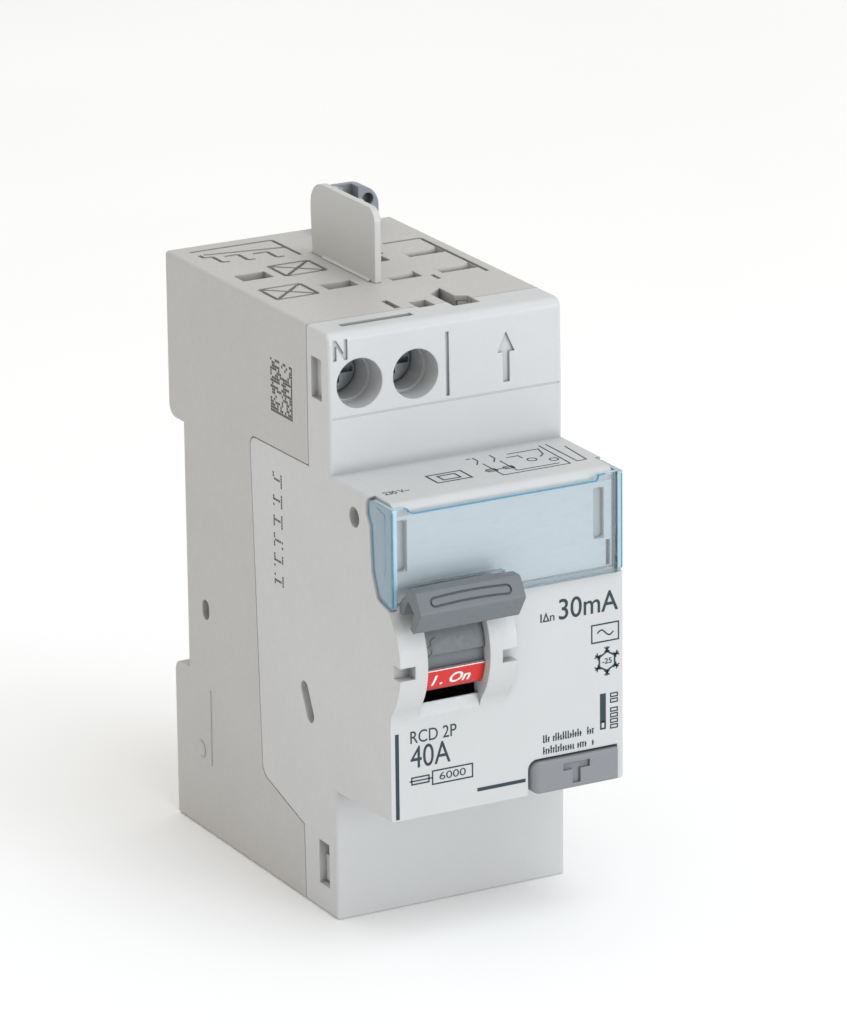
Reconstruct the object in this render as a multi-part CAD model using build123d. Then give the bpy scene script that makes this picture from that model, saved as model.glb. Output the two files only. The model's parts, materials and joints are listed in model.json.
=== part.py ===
"""Residual current device, two poles in two 17.8 mm modules, for a 35 mm rail.

Millimetres. The origin is on the rail: Y = 0 is the plane where the rail's face seats, Z = 0 is
the rail's centre line and X = 0 is the joint between the two modules. The front faces -Y, +Z is up.
The left module (X below 0) holds the toggle, contacts and supply clamps, the right module holds the
current sensor, trip relay, test circuit and comb outlets.
"""

import os
from math import cos, degrees, radians, sin

from build123d import *

# ---- Housing -------------------------------------------------------------------------------
MODULE = 17.8                      # width of one module
SIDE = MODULE                      # half width of the two-module body
TOP, BOTTOM = 42.0, -41.0
REAR = 4.5                         # back of the feet above and below the rail
SHOULDER = -43.9                   # front face of both shoulders
NOSE = -60.1                       # front face of the nose
NOSE_TOP, NOSE_BOTTOM = 22.5, -22.5
NOSE_BOTTOM_FRONT = -21.7          # the nose's underside rises a little towards the front
RAIL_TOP, RAIL_BOTTOM = 18.4, -17.7
WALL = 1.6
INNER = SIDE - WALL
TONGUE = 0.85                      # outer part of the wall, in front of the cover's tongue
SEAM = 0.15                        # gap that shows along the joint of base and cover
INSIDE_REAR = -2.0                 # front of the solid rear wall
EDGE = 0.5                         # rounding of outer edges

# ---- Toggle --------------------------------------------------------------------------------
AXLE_Y, AXLE_Z = -53.0, 0.6        # toggle axis, parallel to X
DRUM = 8.9                         # drum radius
CHEEK = 10.15                      # radius of the two cheeks beside the drum
CHEEK_FOOT = 2.5                   # hollow rounding where the cheeks run out into the nose
SLOT_LEFT, SLOT_RIGHT = -13.6, -4.2
HANDLE_LEFT, HANDLE_RIGHT = -16.65, -0.85
ARCH = 70.0                        # radius of the handle's arched top edge
BUTTON_LEFT, BUTTON_TOP = 3.5, -17.05
SPRING_X, SPRING_Z = 5.6, -19.2    # return spring of the test button
RUN = 0.05                         # radial clearance of a running fit
PLAY = 0.15                        # side play of moving pieces
TOGGLE_PIN = 1.25
DRUM_START, DRUM_END = 70.0, 208.5 # the drum's skin, from +Y towards +Z
ON_LABEL_ANGLE, OFF_LABEL_ANGLE = 197.8, 112.0
LABEL_HALF = 10.4                  # half of the angle that a label covers
CRANK = 3.2                        # link pin's distance from the toggle axis
CRANK_ANGLE = 59.0                 # its direction when switched on, from +Y towards +Z

# ---- Contacts ------------------------------------------------------------------------------
NEUTRAL_X, LINE_X = -13.15, -4.65
CARRIER_Y, CARRIER_Z = -24.0, -14.0
CARRIER_SHAFT = 1.0
LINK_X = -8.5                      # middle plane of the drive link
LINK_REAR_Y, LINK_REAR_Z = -29.0, 3.4
LINK_PIN = 0.7
LINK_SLOT = 0.45                   # length of the carrier's slot for the link's rear pin
CONTACT_Z = 7.0
BAR_FRONT, BAR_REAR = -16.4, -14.9
ARM_FRONT, ARM_REAR = -19.9, -18.1

# ---- Supply clamps -------------------------------------------------------------------------
SCREW_Z = 34.7
WELL = 3.45                        # radius of the screw wells at the face
WELL_INNER = 3.05
SCREW_HEAD_FRONT, SCREW_HEAD_BACK = -37.3, -35.3
LINE_BAR_FRONT, LINE_BAR_REAR = -25.9, -24.4

# ---- Comb slots in the top face: (left, right, front, rear) ----------------------------------
NEUTRAL_SLOT = (-15.5, -10.8, -14.9, -11.7)
LINE_SLOT = (-7.4, -2.7, -24.4, -21.5)
OUTPUT_SLOTS = [(2.2, 6.8, -15.6, -13.0), (9.9, 15.4, -15.6, -13.0),
                (2.2, 6.8, -24.9, -22.4), (9.9, 15.4, -24.9, -22.4)]
REAR_ROW, FRONT_ROW = -13.0, -22.4

# ---- Window --------------------------------------------------------------------------------
PIVOT_Y, PIVOT_Z = -56.3, 20.9     # hinge of the clear flap
FLAP_SIDE = 17.5                   # outer face of its side flanks
FLANK = 0.7                        # their thickness
PANEL_FRONT, PANEL_REAR = -60.7, -59.95
WINDOW_BOTTOM, WINDOW_TOP, TAB_TOP = 8.0, 21.35, 22.2
NOTCH_Z, NOTCH_RIGHT = 11.2, -0.55  # the flap's cut-out behind the toggle handle

# ---- Rail latches --------------------------------------------------------------------------
LATCH_LEFT, LATCH_RIGHT = 4.4, 13.4
LATCH_FRONT, LATCH_REAR = 0.15, 3.1
HANDLE_TOP = 48.4

# ---- Trip parts and sensor -------------------------------------------------------------------
TRIP_Y, TRIP_Z = -38.0, -12.0
TRIP_SHAFT = 1.0
PLUNGER_X, PLUNGER_Y = 8.5, -31.0
SENSOR_X, SENSOR_Y = 8.9, -16.0
SENSOR_LOW, SENSOR_HIGH = -10.0, -1.0
NEUTRAL_WIRE_X, LINE_WIRE_X = 7.0, 10.8
WIRE = 1.3
OUTPUT_FOOT = 20.0


# ---- Helpers ---------------------------------------------------------------------------------
def block(left, right, front, rear, low, high):
    """Box between two planes on each axis."""
    centre = ((left + right) / 2, (front + rear) / 2, (low + high) / 2)
    return Pos(*centre) * Box(right - left, rear - front, high - low)


def outline(*corners):
    """Flat face through corners (u, v); a corner (u, v, radius) is rounded."""
    face = make_face(Polyline(*[corner[:2] for corner in corners], close=True))
    for corner in corners:
        if len(corner) == 3:
            nearest = face.vertices().sort_by_distance((corner[0], corner[1]))[0]
            face = fillet(nearest, corner[2])
    return face


def across(left, right, *corners):
    """Outline of (Y, Z) corners, solid from left to right along X."""
    return extrude(Plane.YZ.offset(left) * outline(*corners), amount=right - left)


def frontal(front, rear, *corners):
    """Outline of (X, Z) corners, solid from rear to front along Y."""
    return extrude(Plane.XZ.offset(-rear) * outline(*corners), amount=rear - front)


def upright(low, high, *corners):
    """Outline of (X, Y) corners, solid from low to high along Z."""
    return extrude(Plane.XY.offset(low) * outline(*corners), amount=high - low)


def rod_x(radius, left, right, y, z):
    """Cylinder along X."""
    return Pos((left + right) / 2, y, z) * Rot(0, 90, 0) * Cylinder(radius, right - left)


def rod_y(radius, front, rear, x, z):
    """Cylinder along Y."""
    return Pos(x, (front + rear) / 2, z) * Rot(90, 0, 0) * Cylinder(radius, rear - front)


def rod_z(radius, low, high, x, y):
    """Cylinder along Z."""
    return Pos(x, y, (low + high) / 2) * Cylinder(radius, high - low)


def about_axle(radius, degrees):
    """(Y, Z) of a point at a radius and angle about the toggle axis."""
    return (AXLE_Y + radius * cos(radians(degrees)), AXLE_Z + radius * sin(radians(degrees)))


def both_sides(shape):
    """A shape and its mirror image in the plane X = 0."""
    return shape + mirror(shape, about=Plane.YZ)


def group(*shapes):
    """Separate solids kept apart in one node."""
    return Compound(children=[solid for shape in shapes for solid in shape.solids()])


def tube(points, radius, bend):
    """Round bar along a path with rounded bends."""
    path = FilletPolyline(*points, radius=bend)
    return sweep(Plane(path @ 0, z_dir=path % 0) * Circle(radius), path=path)


def coil(wire, radius, pitch, height, place):
    """Helical spring of round wire; place puts its +Z axis in the assembly."""
    path = Helix(pitch=pitch, height=height, radius=radius)
    return place * sweep(Plane(path @ 0, z_dir=path % 0) * Circle(wire), path=path)


def strokes(lines, width):
    """Flat sketch of straight strokes between (start, end) pairs."""
    sketch = Sketch()
    for start, end in lines:
        sketch += trace(Line(start, end), line_width=width)
    return sketch


# ---- Housing regions ---------------------------------------------------------------------------
def body(inset=0.0):
    """The whole housing, or the same shape drawn in by an inset."""
    front, nose = SHOULDER + inset, NOSE + inset
    return across(
        -SIDE + inset, SIDE - inset,
        (REAR - inset, TOP - inset),
        (front + 0.1, TOP - inset, 1.3),
        (front - 0.1, 30.2),
        (front, NOSE_TOP - inset),
        (nose, NOSE_TOP - inset),
        (nose, NOSE_BOTTOM_FRONT + inset),
        (front - 0.3, NOSE_BOTTOM + inset),
        (front - 0.25, -29.6),
        (front - 0.1, BOTTOM + inset),
        (REAR - inset, BOTTOM + inset),
        (REAR - inset, RAIL_BOTTOM + inset, 1.8),
        (-inset, RAIL_BOTTOM + inset),
        (-inset, RAIL_TOP - inset),
        (REAR - inset, RAIL_TOP - inset, 1.8),
    )


def hollow():
    """The space inside the two shells."""
    return across(
        -INNER, INNER,
        (INSIDE_REAR, TOP - WALL),
        (SHOULDER + WALL, TOP - WALL),
        (SHOULDER + WALL, NOSE_TOP - WALL),
        (NOSE + WALL, NOSE_TOP - WALL),
        (NOSE + WALL, NOSE_BOTTOM_FRONT + WALL),
        (SHOULDER + WALL, NOSE_BOTTOM + WALL),
        (SHOULDER + WALL, BOTTOM + WALL),
        (INSIDE_REAR, BOTTOM + WALL),
    )


def cover_region(back=0.0):
    """Everything in front of the seam; back moves the seam towards the rear and outwards."""
    return across(
        -SIDE - 1, SIDE + 1,
        (-70, TOP + 1),
        (-37.8 + back, TOP + 1),
        (-37.8 + back, 22.2 + back),
        (-20.4 + back, 21.9 + back, 1.5),
        (-22.4 + back, -26.4 - back, 2.0),
        (-34.7 + back, -30.0 - back),
        (-35.0 + back, BOTTOM - 1),
        (-70, BOTTOM - 1),
    )


def on_soft_edge(edge):
    """Whether an edge is a long side edge of a shoulder, the top or the bottom."""
    centre = edge.center()
    beside = abs(abs(centre.X) - SIDE) < 0.01 and edge.length > 8
    on_shoulder = centre.Y < SHOULDER + 0.3 and abs(centre.Y - NOSE) > 0.2
    return beside and (on_shoulder or centre.Z > TOP - 0.1 or centre.Z < BOTTOM + 0.1)


def soft_edges(shape):
    """Round the long outer edges of the shoulders, top and bottom."""
    return fillet([edge for edge in shape.edges() if on_soft_edge(edge)], EDGE)


def side_slot(y, z, length, width, tilt):
    """Oblong hole through both side walls, its top leaning towards the rear by tilt degrees."""
    shape = Pos(y, z) * Rot(0, 0, 90 - tilt) * SlotOverall(length, width)
    hole = extrude(Plane.YZ.offset(-SIDE - 1) * shape, amount=2 * SIDE + 2)
    return hole - block(-INNER, INNER, -60, 0, -40, 40)


def top_openings():
    """Openings that cross the top wall near the front, through base and cover alike."""
    groove = block(-14.2, -3.3, -41.1, -39.9, TOP - 1.0, TOP + 1)
    groove += block(-4.0, -3.1, -37.0, -32.9, TOP - 1.0, TOP + 1)
    hatch = block(-1.1, 1.5, -38.4, -35.3, TOP - 3, TOP + 1)
    hook = upright(TOP - 3, TOP + 1, (3.4, -33.4), (5.9, -31.3), (5.9, -35.5), (7.4, -36.5),
                   (7.4, -40.0), (3.4, -40.0))
    return groove + hatch + hook


# ---- Rear base ---------------------------------------------------------------------------------
def comb_slot(left, right, front, rear):
    """Slot through the top wall."""
    return block(left, right, front, rear, TOP - 4, TOP + 1)


def output_slot(left, right, front, rear):
    """Slot through the top wall whose rear edge is rounded off into it."""
    lip = 0.7
    cut = comb_slot(left, right, front, rear)
    cut += (block(left, right, rear - 0.01, rear + lip, TOP - lip, TOP + 1)
            - rod_x(lip, left, right, rear + lip, TOP - lip))
    return cut


def top_marks():
    """Engraved busbar comb and crossed squares beside the comb slots."""
    depth, width = 0.4, 0.55
    lines = [((-15.3, 2.0), (-2.6, 2.0)), ((-2.6, 2.0), (-2.5, -6.7)),
             ((-14.2, -0.1), (-2.8, -2.2)), ((-14.9, 0.0), (-14.8, -1.5))]
    for left, rear, length in ((-14.8, -1.5, 1.2), (-12.0, -2.2, 2.0), (-8.1, -3.0, 2.2)):
        tip, front = left + length, rear - 3.2
        lines += [((left, rear), (tip, rear)), ((tip, rear), (tip, front)),
                  ((tip, front), (tip + 1.1, front))]
    for left, front in ((-9.2, -15.4), (-15.6, -25.2)):
        right, rear = left + 6.2, front + 5.6
        lines += [((left, front), (right, front)), ((left, rear), (right, rear)),
                  ((left, front), (left, rear)), ((right, front), (right, rear)),
                  ((left, front), (right, rear)), ((left, rear), (right, front))]
    lines += [((2.4, -7.4), (7.6, -12.0)), ((2.4, -12.0), (7.6, -7.4)),
              ((8.2, -27.2), (8.2, -24.9)), ((15.75, -27.1), (15.75, -7.7)),
              ((9.9, -7.6), (15.7, -7.6))]
    return extrude(Plane.XY.offset(TOP - depth) * strokes(lines, width), amount=2 * depth)


def latch_channel(latch_low, latch_high):
    """Space for a rail latch in the rear foot, with its side play."""
    return block(LATCH_LEFT - PLAY, LATCH_RIGHT + PLAY, LATCH_FRONT - 0.1, LATCH_REAR + 0.1,
                 latch_low, latch_high)


def snap_tab(low, high, root):
    """Hook at the right side of the base that clicks into a side window of the cover."""
    tab = block(INNER - 1.1, INNER - 0.05, -41.6, -29.0, low, high)
    tab += block(INNER - 0.2, INNER + 0.7, -41.6, -39.3, low, high)
    return tab + block(INNER - 1.1, INNER + 0.3, root, -29.0, low, high)


def snap_tabs():
    """Two hooks below and one at the upper right; the neutral clamp fills the upper left."""
    return both_sides(snap_tab(-36.8, -33.0, -31.5)) + snap_tab(32.6, 37.7, -34.0)


def rear_base():
    """Rear shell: rail notch, comb slots, latch channels and inner partitions."""
    shell = soft_edges(body()) - cover_region(SEAM) - (cover_region(2.3) & body(TONGUE - 0.05))
    shell -= hollow()
    module_wall = block(-0.4, 0.4, -34.0, INSIDE_REAR, -20.0, TOP - WALL)
    pole_wall = block(-9.3, -8.5, -34.0, INSIDE_REAR, 24.0, TOP - WALL)
    shell += module_wall + pole_wall + snap_tabs()
    shell -= comb_slot(*NEUTRAL_SLOT) + comb_slot(*LINE_SLOT)
    for slot in OUTPUT_SLOTS:
        shell -= output_slot(*slot)
    shell -= top_marks() + top_openings()
    shell -= block(-0.75, 0.55, -24.6, -6.4, TOP - 3.0, TOP + 1)
    shell -= latch_channel(RAIL_TOP - 1, TOP + 1) + latch_channel(BOTTOM - 1, RAIL_BOTTOM + 1)
    shell -= side_slot(-5.55, -7.6, 2.9, 2.1, 0)
    return shell - rod_x(CARRIER_SHAFT, -INNER, 1, CARRIER_Y, CARRIER_Z)


# ---- Front cover -------------------------------------------------------------------------------
def flank_outline(clearance=0.0):
    """(Y, Z) outline of the flap's side flanks."""
    c = clearance
    return [(-54.2 + c, TAB_TOP + 3 * c, 1.25 + c), (-54.2 + c, 20.0), (-55.1 + c, 18.6),
            (-55.5 + c, 12.4), (-57.0 + c, 9.0 - c, 1.2), (PANEL_FRONT - c, WINDOW_BOTTOM - c, 0.7),
            (PANEL_FRONT - c, TAB_TOP + 3 * c)]


def screw_wells():
    """Sleeves around the two terminal screws, behind the shoulder face."""
    sleeves = Part()
    for x in (NEUTRAL_X, LINE_X):
        sleeves += rod_y(WELL_INNER + 0.75, SHOULDER + 1, SCREW_HEAD_BACK - 0.5, x, SCREW_Z)
    return sleeves & block(-INNER - 0.2, 0, -60, 0, 0, TOP - 0.5)


def well_bores():
    """Stepped bores: wide at the face, then a ledge, then the screw's own bore."""
    bores = Part()
    for x in (NEUTRAL_X, LINE_X):
        bores += rod_y(WELL, SHOULDER - 2, SHOULDER + 3.4, x, SCREW_Z)
        bores += rod_y(WELL_INNER, SHOULDER, SCREW_HEAD_BACK + 1, x, SCREW_Z)
    return bores


def shoulder_marks():
    """Engraved N, divider, upward arrow and a fine line across the upper shoulder."""
    front, rear = SHOULDER - 1, SHOULDER + 0.35
    marks = block(-SIDE + EDGE, SIDE - EDGE, front, SHOULDER - 0.04, 30.1, 30.35)
    marks += block(-17.0, -16.5, front, rear, 38.2, 41.0)
    marks += block(-15.35, -14.85, front, rear, 38.2, 41.0)
    marks += frontal(front, rear, (-17.0, 41.0), (-16.5, 41.0), (-14.85, 38.2), (-15.35, 38.2))
    marks += block(-0.05, 0.45, front, rear, 30.9, 39.8)
    marks += frontal(front, rear, (9.2, 38.5), (10.5, 35.7), (9.7, 35.7), (9.7, 31.5),
                     (8.7, 31.5), (8.7, 35.7), (7.9, 35.7))
    return marks


def cheeks():
    """The bulge around the drum, run out into the nose, with notches at both ends."""
    nose = Pos(NOSE + 1, AXLE_Z) * Rectangle(2, 4 * CHEEK)
    profile = nose + Pos(AXLE_Y, AXLE_Z) * Circle(CHEEK)
    corners = [v for v in profile.vertices() if abs(v.X - NOSE) < 0.01 and abs(v.Y) < CHEEK]
    profile = fillet(corners, CHEEK_FOOT)
    bulge = extrude(Plane.YZ.offset(-SIDE) * profile, amount=SIDE)
    bulge &= block(-SIDE, 0, -70, NOSE + 1, -CHEEK, CHEEK)
    edge_notch = block(-SIDE - 1, -15.5, -70, -61.3, -0.85, 0.95)
    edge_notch += block(-2.3, 1, -70, -61.3, -0.85, 0.95)
    return bulge - edge_notch


def axle_ribs():
    """Ribs behind the cheeks that hold the toggle pin."""
    ribs = Part()
    for left in (-15.6, -3.9):
        ribs += block(left, left + 1.5, NOSE + 1, AXLE_Y + 2.5, AXLE_Z - 4, AXLE_Z + 4)
    return ribs


def shaft_bosses():
    """Bosses on the cover's side walls for the carrier and trip lever shafts."""
    bosses = rod_x(2.0, -INNER - 0.3, -INNER + 0.8, CARRIER_Y, CARRIER_Z)
    bosses += both_sides(rod_x(2.0, INNER - 1.0, INNER + 0.3, TRIP_Y, TRIP_Z))
    bosses -= rod_x(CARRIER_SHAFT, -INNER, 0, CARRIER_Y, CARRIER_Z)
    return bosses - rod_x(TRIP_SHAFT, -INNER, INNER, TRIP_Y, TRIP_Z)


def side_windows():
    """Windows for the base's hooks; the upper left one is only a recess."""
    windows = both_sides(block(INNER - 1, SIDE + 1, -41.9, -39.0, -37.1, -30.8))
    windows += block(INNER - 1, SIDE + 1, -41.9, -39.0, 32.3, 38.0)
    return windows + block(-SIDE - 1, -SIDE + 0.9, -41.9, -39.0, 32.3, 38.0)


def label_bed():
    """Shallow bed for the flap and the label, with a thumb recess at each end."""
    front, floor, high = NOSE - 1, NOSE + 0.3, WINDOW_TOP + 0.2
    bed = block(NOTCH_RIGHT - 0.2, SIDE, front, floor, WINDOW_BOTTOM - 0.15, high)
    bed += block(-SIDE, SIDE, front, floor, NOTCH_Z - 0.15, high)
    bed += block(-16.7, 16.5, front, floor + 0.2, 8.6, high)
    bed += frontal(front, NOSE + 1.1, (-16.8, 20.3), (-14.9, 20.3, 0.6), (-14.9, 13.3, 0.6),
                   (-16.8, 13.3))
    bed += frontal(front, NOSE + 0.9, (13.6, 20.0, 0.5), (15.0, 20.0, 0.5), (15.0, 13.0, 0.5),
                   (13.6, 13.0, 0.5))
    bed += block(15.5, 16.0, front, NOSE + 1.0, 9.0, 12.5)
    return bed


def nose_ledge_cut():
    """Rounds the top front edge of the nose so that the flap can swing over it."""
    radius = 1.6
    corner = block(-SIDE - 1, SIDE + 1, NOSE - 1, NOSE + 0.35, WINDOW_TOP, NOSE_TOP + 1)
    corner += block(-SIDE - 1, SIDE + 1, NOSE, NOSE + 0.35 + radius, NOSE_TOP - radius,
                    NOSE_TOP + 1)
    return corner - rod_x(radius, -SIDE - 1, SIDE + 1, NOSE + 0.35 + radius, NOSE_TOP - radius)


def toggle_slot():
    """Opening for the drum between the cheeks, with a sloping sill below it."""
    opening = rod_x(DRUM + 0.25, SLOT_LEFT, SLOT_RIGHT, AXLE_Y, AXLE_Z)
    opening += block(SLOT_LEFT, SLOT_RIGHT, -70, NOSE, AXLE_Z - 10, AXLE_Z + 10)
    return opening + across(SLOT_LEFT, SLOT_RIGHT, (-70, -4.4), (NOSE + 0.7, -4.4),
                            (NOSE, -7.5), (-70, -7.5))


def button_pocket():
    """Opening for the test button, through the nose's front and underside."""
    return frontal(NOSE - 2, -54.3, (3.1, -24), (16.95, -24), (16.95, -16.7), (3.1, -16.7, 1.4))


def front_cover():
    """Front shell: nose, shoulder faces, screw wells, toggle slot and window seat."""
    shell = soft_edges(body()) & cover_region()
    shell += cover_region(2.1) & body(TONGUE)
    shell -= hollow()
    shell += cheeks() + axle_ribs() + screw_wells() + shaft_bosses()
    shell -= well_bores() + shoulder_marks() + top_openings() + label_bed() + nose_ledge_cut()
    shell -= toggle_slot()
    shell -= rod_x(TOGGLE_PIN, -15.6, -2.4, AXLE_Y, AXLE_Z)
    shell -= side_windows()
    seat = across(FLAP_SIDE - FLANK - 0.15, SIDE + 1, *flank_outline(0.15))
    swing = rod_x(2.25, FLAP_SIDE - FLANK - 0.15, SIDE + 1, PIVOT_Y, PIVOT_Z)
    pivots = rod_x(0.85, INNER - 1, SIDE, PIVOT_Y, PIVOT_Z)
    shell -= both_sides(seat + swing + pivots)
    shell -= both_sides(rod_x(1.4, INNER - 1, SIDE + 1, -50.7, 18.6))
    shell -= side_slot(-36.2, -11.8, 5.9, 2.1, 25.6)
    shell -= button_pocket()
    return shell


# ---- Toggle ------------------------------------------------------------------------------------
def drum_sector(radius, start, end, left, right):
    """Sector of a cylinder about the toggle axis, between two angles from +Y towards +Z."""
    reach = 3 * radius
    fan = [(AXLE_Y, AXLE_Z)]
    steps = 6
    for step in range(steps + 1):
        fan.append(about_axle(reach, start + (end - start) * step / steps))
    return rod_x(radius, left, right, AXLE_Y, AXLE_Z) & across(left, right, *fan)


def label_recess(middle):
    """Shallow seat for a label across the drum, centred at an angle."""
    return (drum_sector(DRUM + 1, middle - LABEL_HALF, middle + LABEL_HALF, SLOT_LEFT, SLOT_RIGHT)
            - rod_x(DRUM - 0.4, -20, 0, AXLE_Y, AXLE_Z))


def handle_bar():
    """Grip of the toggle: a hollow-backed bar with a slightly arched top edge."""
    bar = across(HANDLE_LEFT, HANDLE_RIGHT, (-63.9, 12.3), (-65.4, 11.9, 0.6), (-67.0, 9.3, 0.6),
                 (-64.9, 6.1, 0.3), (-63.9, 6.7), (-65.0, 9.1), (-63.5, 10.3), (-62.3, 8.7, 0.3),
                 (-61.9, 7.9, 0.4), (-61.1, 7.8, 0.35), (-60.95, 9.3))
    middle = (HANDLE_LEFT + HANDLE_RIGHT) / 2
    arch = rod_y(ARCH, -70, -55, middle, 12.35 - ARCH)
    return bar & arch


def handle_groove():
    """Engraved outline on the handle's upper face, arched like its top edge."""
    middle = (HANDLE_LEFT + HANDLE_RIGHT) / 2
    face = Plane(origin=(middle, -66.15, 10.68), x_dir=(1, 0, 0), z_dir=(0, -2.6, 1.6))
    spread = degrees(5.4 / ARCH)
    arc = CenterArc((0, 0.1 - ARCH), ARCH, 90 - spread, 2 * spread)
    ring = SlotArc(arc, 1.5) - SlotArc(arc, 0.9)
    return extrude(face * ring, amount=0.25, both=True)


def toggle():
    """Handle, neck and drum in one moulding."""
    left, right = SLOT_LEFT + PLAY, SLOT_RIGHT - PLAY
    drum = drum_sector(DRUM, DRUM_START, DRUM_END, left, right)
    drum += rod_x(4.9, left, right, AXLE_Y, AXLE_Z)
    drum -= label_recess(ON_LABEL_ANGLE) + label_recess(OFF_LABEL_ANGLE)
    drum -= (drum_sector(DRUM + 1, 174, 186.4, SLOT_LEFT, SLOT_RIGHT)
             - rod_x(DRUM - 0.5, -20, 0, AXLE_Y, AXLE_Z))
    neck = across(left, right, about_axle(8.0, 144.5), (-60.4, 6.6), (-60.95, 9.3),
                  (-64.9, 9.0), (-64.6, 6.5), about_axle(9.3, 153), about_axle(8.0, 153))
    grip = handle_bar() - handle_groove()
    shape = drum + neck + grip
    shape -= rod_x(TOGGLE_PIN + RUN, -20, 0, AXLE_Y, AXLE_Z)
    shape -= block(LINK_X - 0.9, LINK_X + 0.9, AXLE_Y - 4.4, -40, AXLE_Z - 6, AXLE_Z + 10)
    shape -= block(left - 1, left + 2.6, AXLE_Y - 4.9, -40, AXLE_Z - 6, AXLE_Z + 6)
    shape += rod_x(1.9, left, left + 2.7, AXLE_Y, AXLE_Z)
    shape -= rod_x(TOGGLE_PIN + RUN, -20, 0, AXLE_Y, AXLE_Z)
    pin_y, pin_z = about_axle(CRANK, CRANK_ANGLE)
    shape -= rod_x(LINK_PIN, LINK_X - 2.6, LINK_X + 2.6, pin_y, pin_z)
    return shape


def drum_label(middle):
    """Label insert that fills a seat on the drum."""
    half = LABEL_HALF - 0.2
    return (drum_sector(DRUM - 0.02, middle - half, middle + half, SLOT_LEFT + PLAY,
                        SLOT_RIGHT - PLAY) - rod_x(DRUM - 0.4, -20, 0, AXLE_Y, AXLE_Z))


def on_label():
    return drum_label(ON_LABEL_ANGLE)


def off_label():
    return drum_label(OFF_LABEL_ANGLE)


def toggle_pin():
    return rod_x(TOGGLE_PIN, -15.6, -2.4, AXLE_Y, AXLE_Z)


def toggle_spring():
    """Torsion spring around the drum's hub."""
    place = Pos(SLOT_LEFT + 0.6, AXLE_Y, AXLE_Z) * Rot(0, 90, 0)
    return coil(0.3, 2.6, 0.75, 1.6, place)


# ---- Drive link and contacts -------------------------------------------------------------------
def drive_link():
    """Flat link between the drum's crank pin and the contact carrier."""
    front_y, front_z = about_axle(CRANK, CRANK_ANGLE)
    left, right = LINK_X - 0.6, LINK_X + 0.6
    bar = block(left, right, front_y, LINK_REAR_Y, front_z - 0.9, front_z + 0.9)
    for y, z in ((front_y, front_z), (LINK_REAR_Y, LINK_REAR_Z)):
        bar += rod_x(1.4, left, right, y, z)
    bar -= rod_x(LINK_PIN + RUN, left - 1, right + 1, front_y, front_z)
    return bar - rod_x(LINK_PIN, left - 1, right + 1, LINK_REAR_Y, LINK_REAR_Z)


def crank_pin():
    y, z = about_axle(CRANK, CRANK_ANGLE)
    return rod_x(LINK_PIN, LINK_X - 2.6, LINK_X + 2.6, y, z)


def carrier_link_pin():
    return rod_x(LINK_PIN, LINK_X - 2.2, LINK_X + 2.2, LINK_REAR_Y, LINK_REAR_Z)


def contact_carrier():
    """Rocking carrier of both contact arms, forked around the rear end of the drive link."""
    carrier = rod_x(2.6, NEUTRAL_X + 1.6, LINE_X - 1.6, CARRIER_Y, CARRIER_Z)
    fork_top = LINK_REAR_Z + 2.6
    for left in (LINK_X - 2.2, LINK_X + 0.8):
        carrier += across(left, left + 1.4,
                          (CARRIER_Y - 2.2, CARRIER_Z), (CARRIER_Y + 1.5, CARRIER_Z),
                          (LINK_REAR_Y + 2.4, fork_top), (LINK_REAR_Y - 2.0, fork_top))
    carrier += block(-15.2, -2.6, -26.4, -23.4, -3.5, -0.5)
    for z in (LINK_REAR_Z, LINK_REAR_Z + LINK_SLOT):
        carrier -= rod_x(LINK_PIN + 0.15, -16, 0, LINK_REAR_Y, z)
    return carrier - rod_x(CARRIER_SHAFT + RUN, -20, 0, CARRIER_Y, CARRIER_Z)


def carrier_shaft():
    return rod_x(CARRIER_SHAFT, -INNER, 0.4, CARRIER_Y, CARRIER_Z)


def moving_contact_arms():
    """Copper arms that rock about the carrier shaft."""
    arms = []
    hub_front, hub_rear, hub_low = CARRIER_Y - 1.7, CARRIER_Y + 1.7, CARRIER_Z - 2.4
    for x in (NEUTRAL_X, LINE_X):
        arm = across(x - 1.5, x + 1.5,
                     (hub_front, hub_low), (hub_rear, hub_low), (hub_rear, CARRIER_Z + 2.0),
                     (ARM_REAR, -6.0), (ARM_REAR, 9.0), (ARM_FRONT, 9.0), (ARM_FRONT, -5.6),
                     (hub_front, CARRIER_Z + 3.0))
        arms.append(arm - rod_x(CARRIER_SHAFT + RUN, -20, 0, CARRIER_Y, CARRIER_Z))
    return group(*arms)


def contact_tips(radius, front, rear):
    """One round contact tip per pole."""
    return group(*[rod_y(radius, front, rear, x, CONTACT_Z) for x in (NEUTRAL_X, LINE_X)])


def moving_contact_tips():
    return contact_tips(1.4, ARM_REAR, BAR_FRONT - 0.85)


def fixed_contact_tips():
    return contact_tips(1.6, BAR_FRONT - 0.8, BAR_FRONT)


def contact_springs():
    """Compression springs between the carrier's beam and the arms."""
    length = ARM_FRONT + 23.4
    return group(*[coil(0.25, 1.1, 0.9, length - 0.7, Pos(x, -23.05, -2.0) * Rot(-90, 0, 0))
                   for x in (NEUTRAL_X, LINE_X)])


def arc_plates():
    """Splitter plates beside the contacts, in two stacks."""
    plates = []
    for x in (NEUTRAL_X, LINE_X):
        for step in range(5):
            low = 11.5 + 1.7 * step
            plate = block(x - 2.6, x + 2.6, -31.0, -20.5, low, low + 0.7)
            plates.append(plate - block(x - 0.8, x + 0.8, -24.0, -20.0, low - 1, low + 2))
    return group(*plates)


# ---- Supply clamps -----------------------------------------------------------------------------
def neutral_supply_bar():
    return block(NEUTRAL_X - 1.9, NEUTRAL_X + 1.9, BAR_FRONT, BAR_REAR, 5.0, 38.6)


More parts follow.
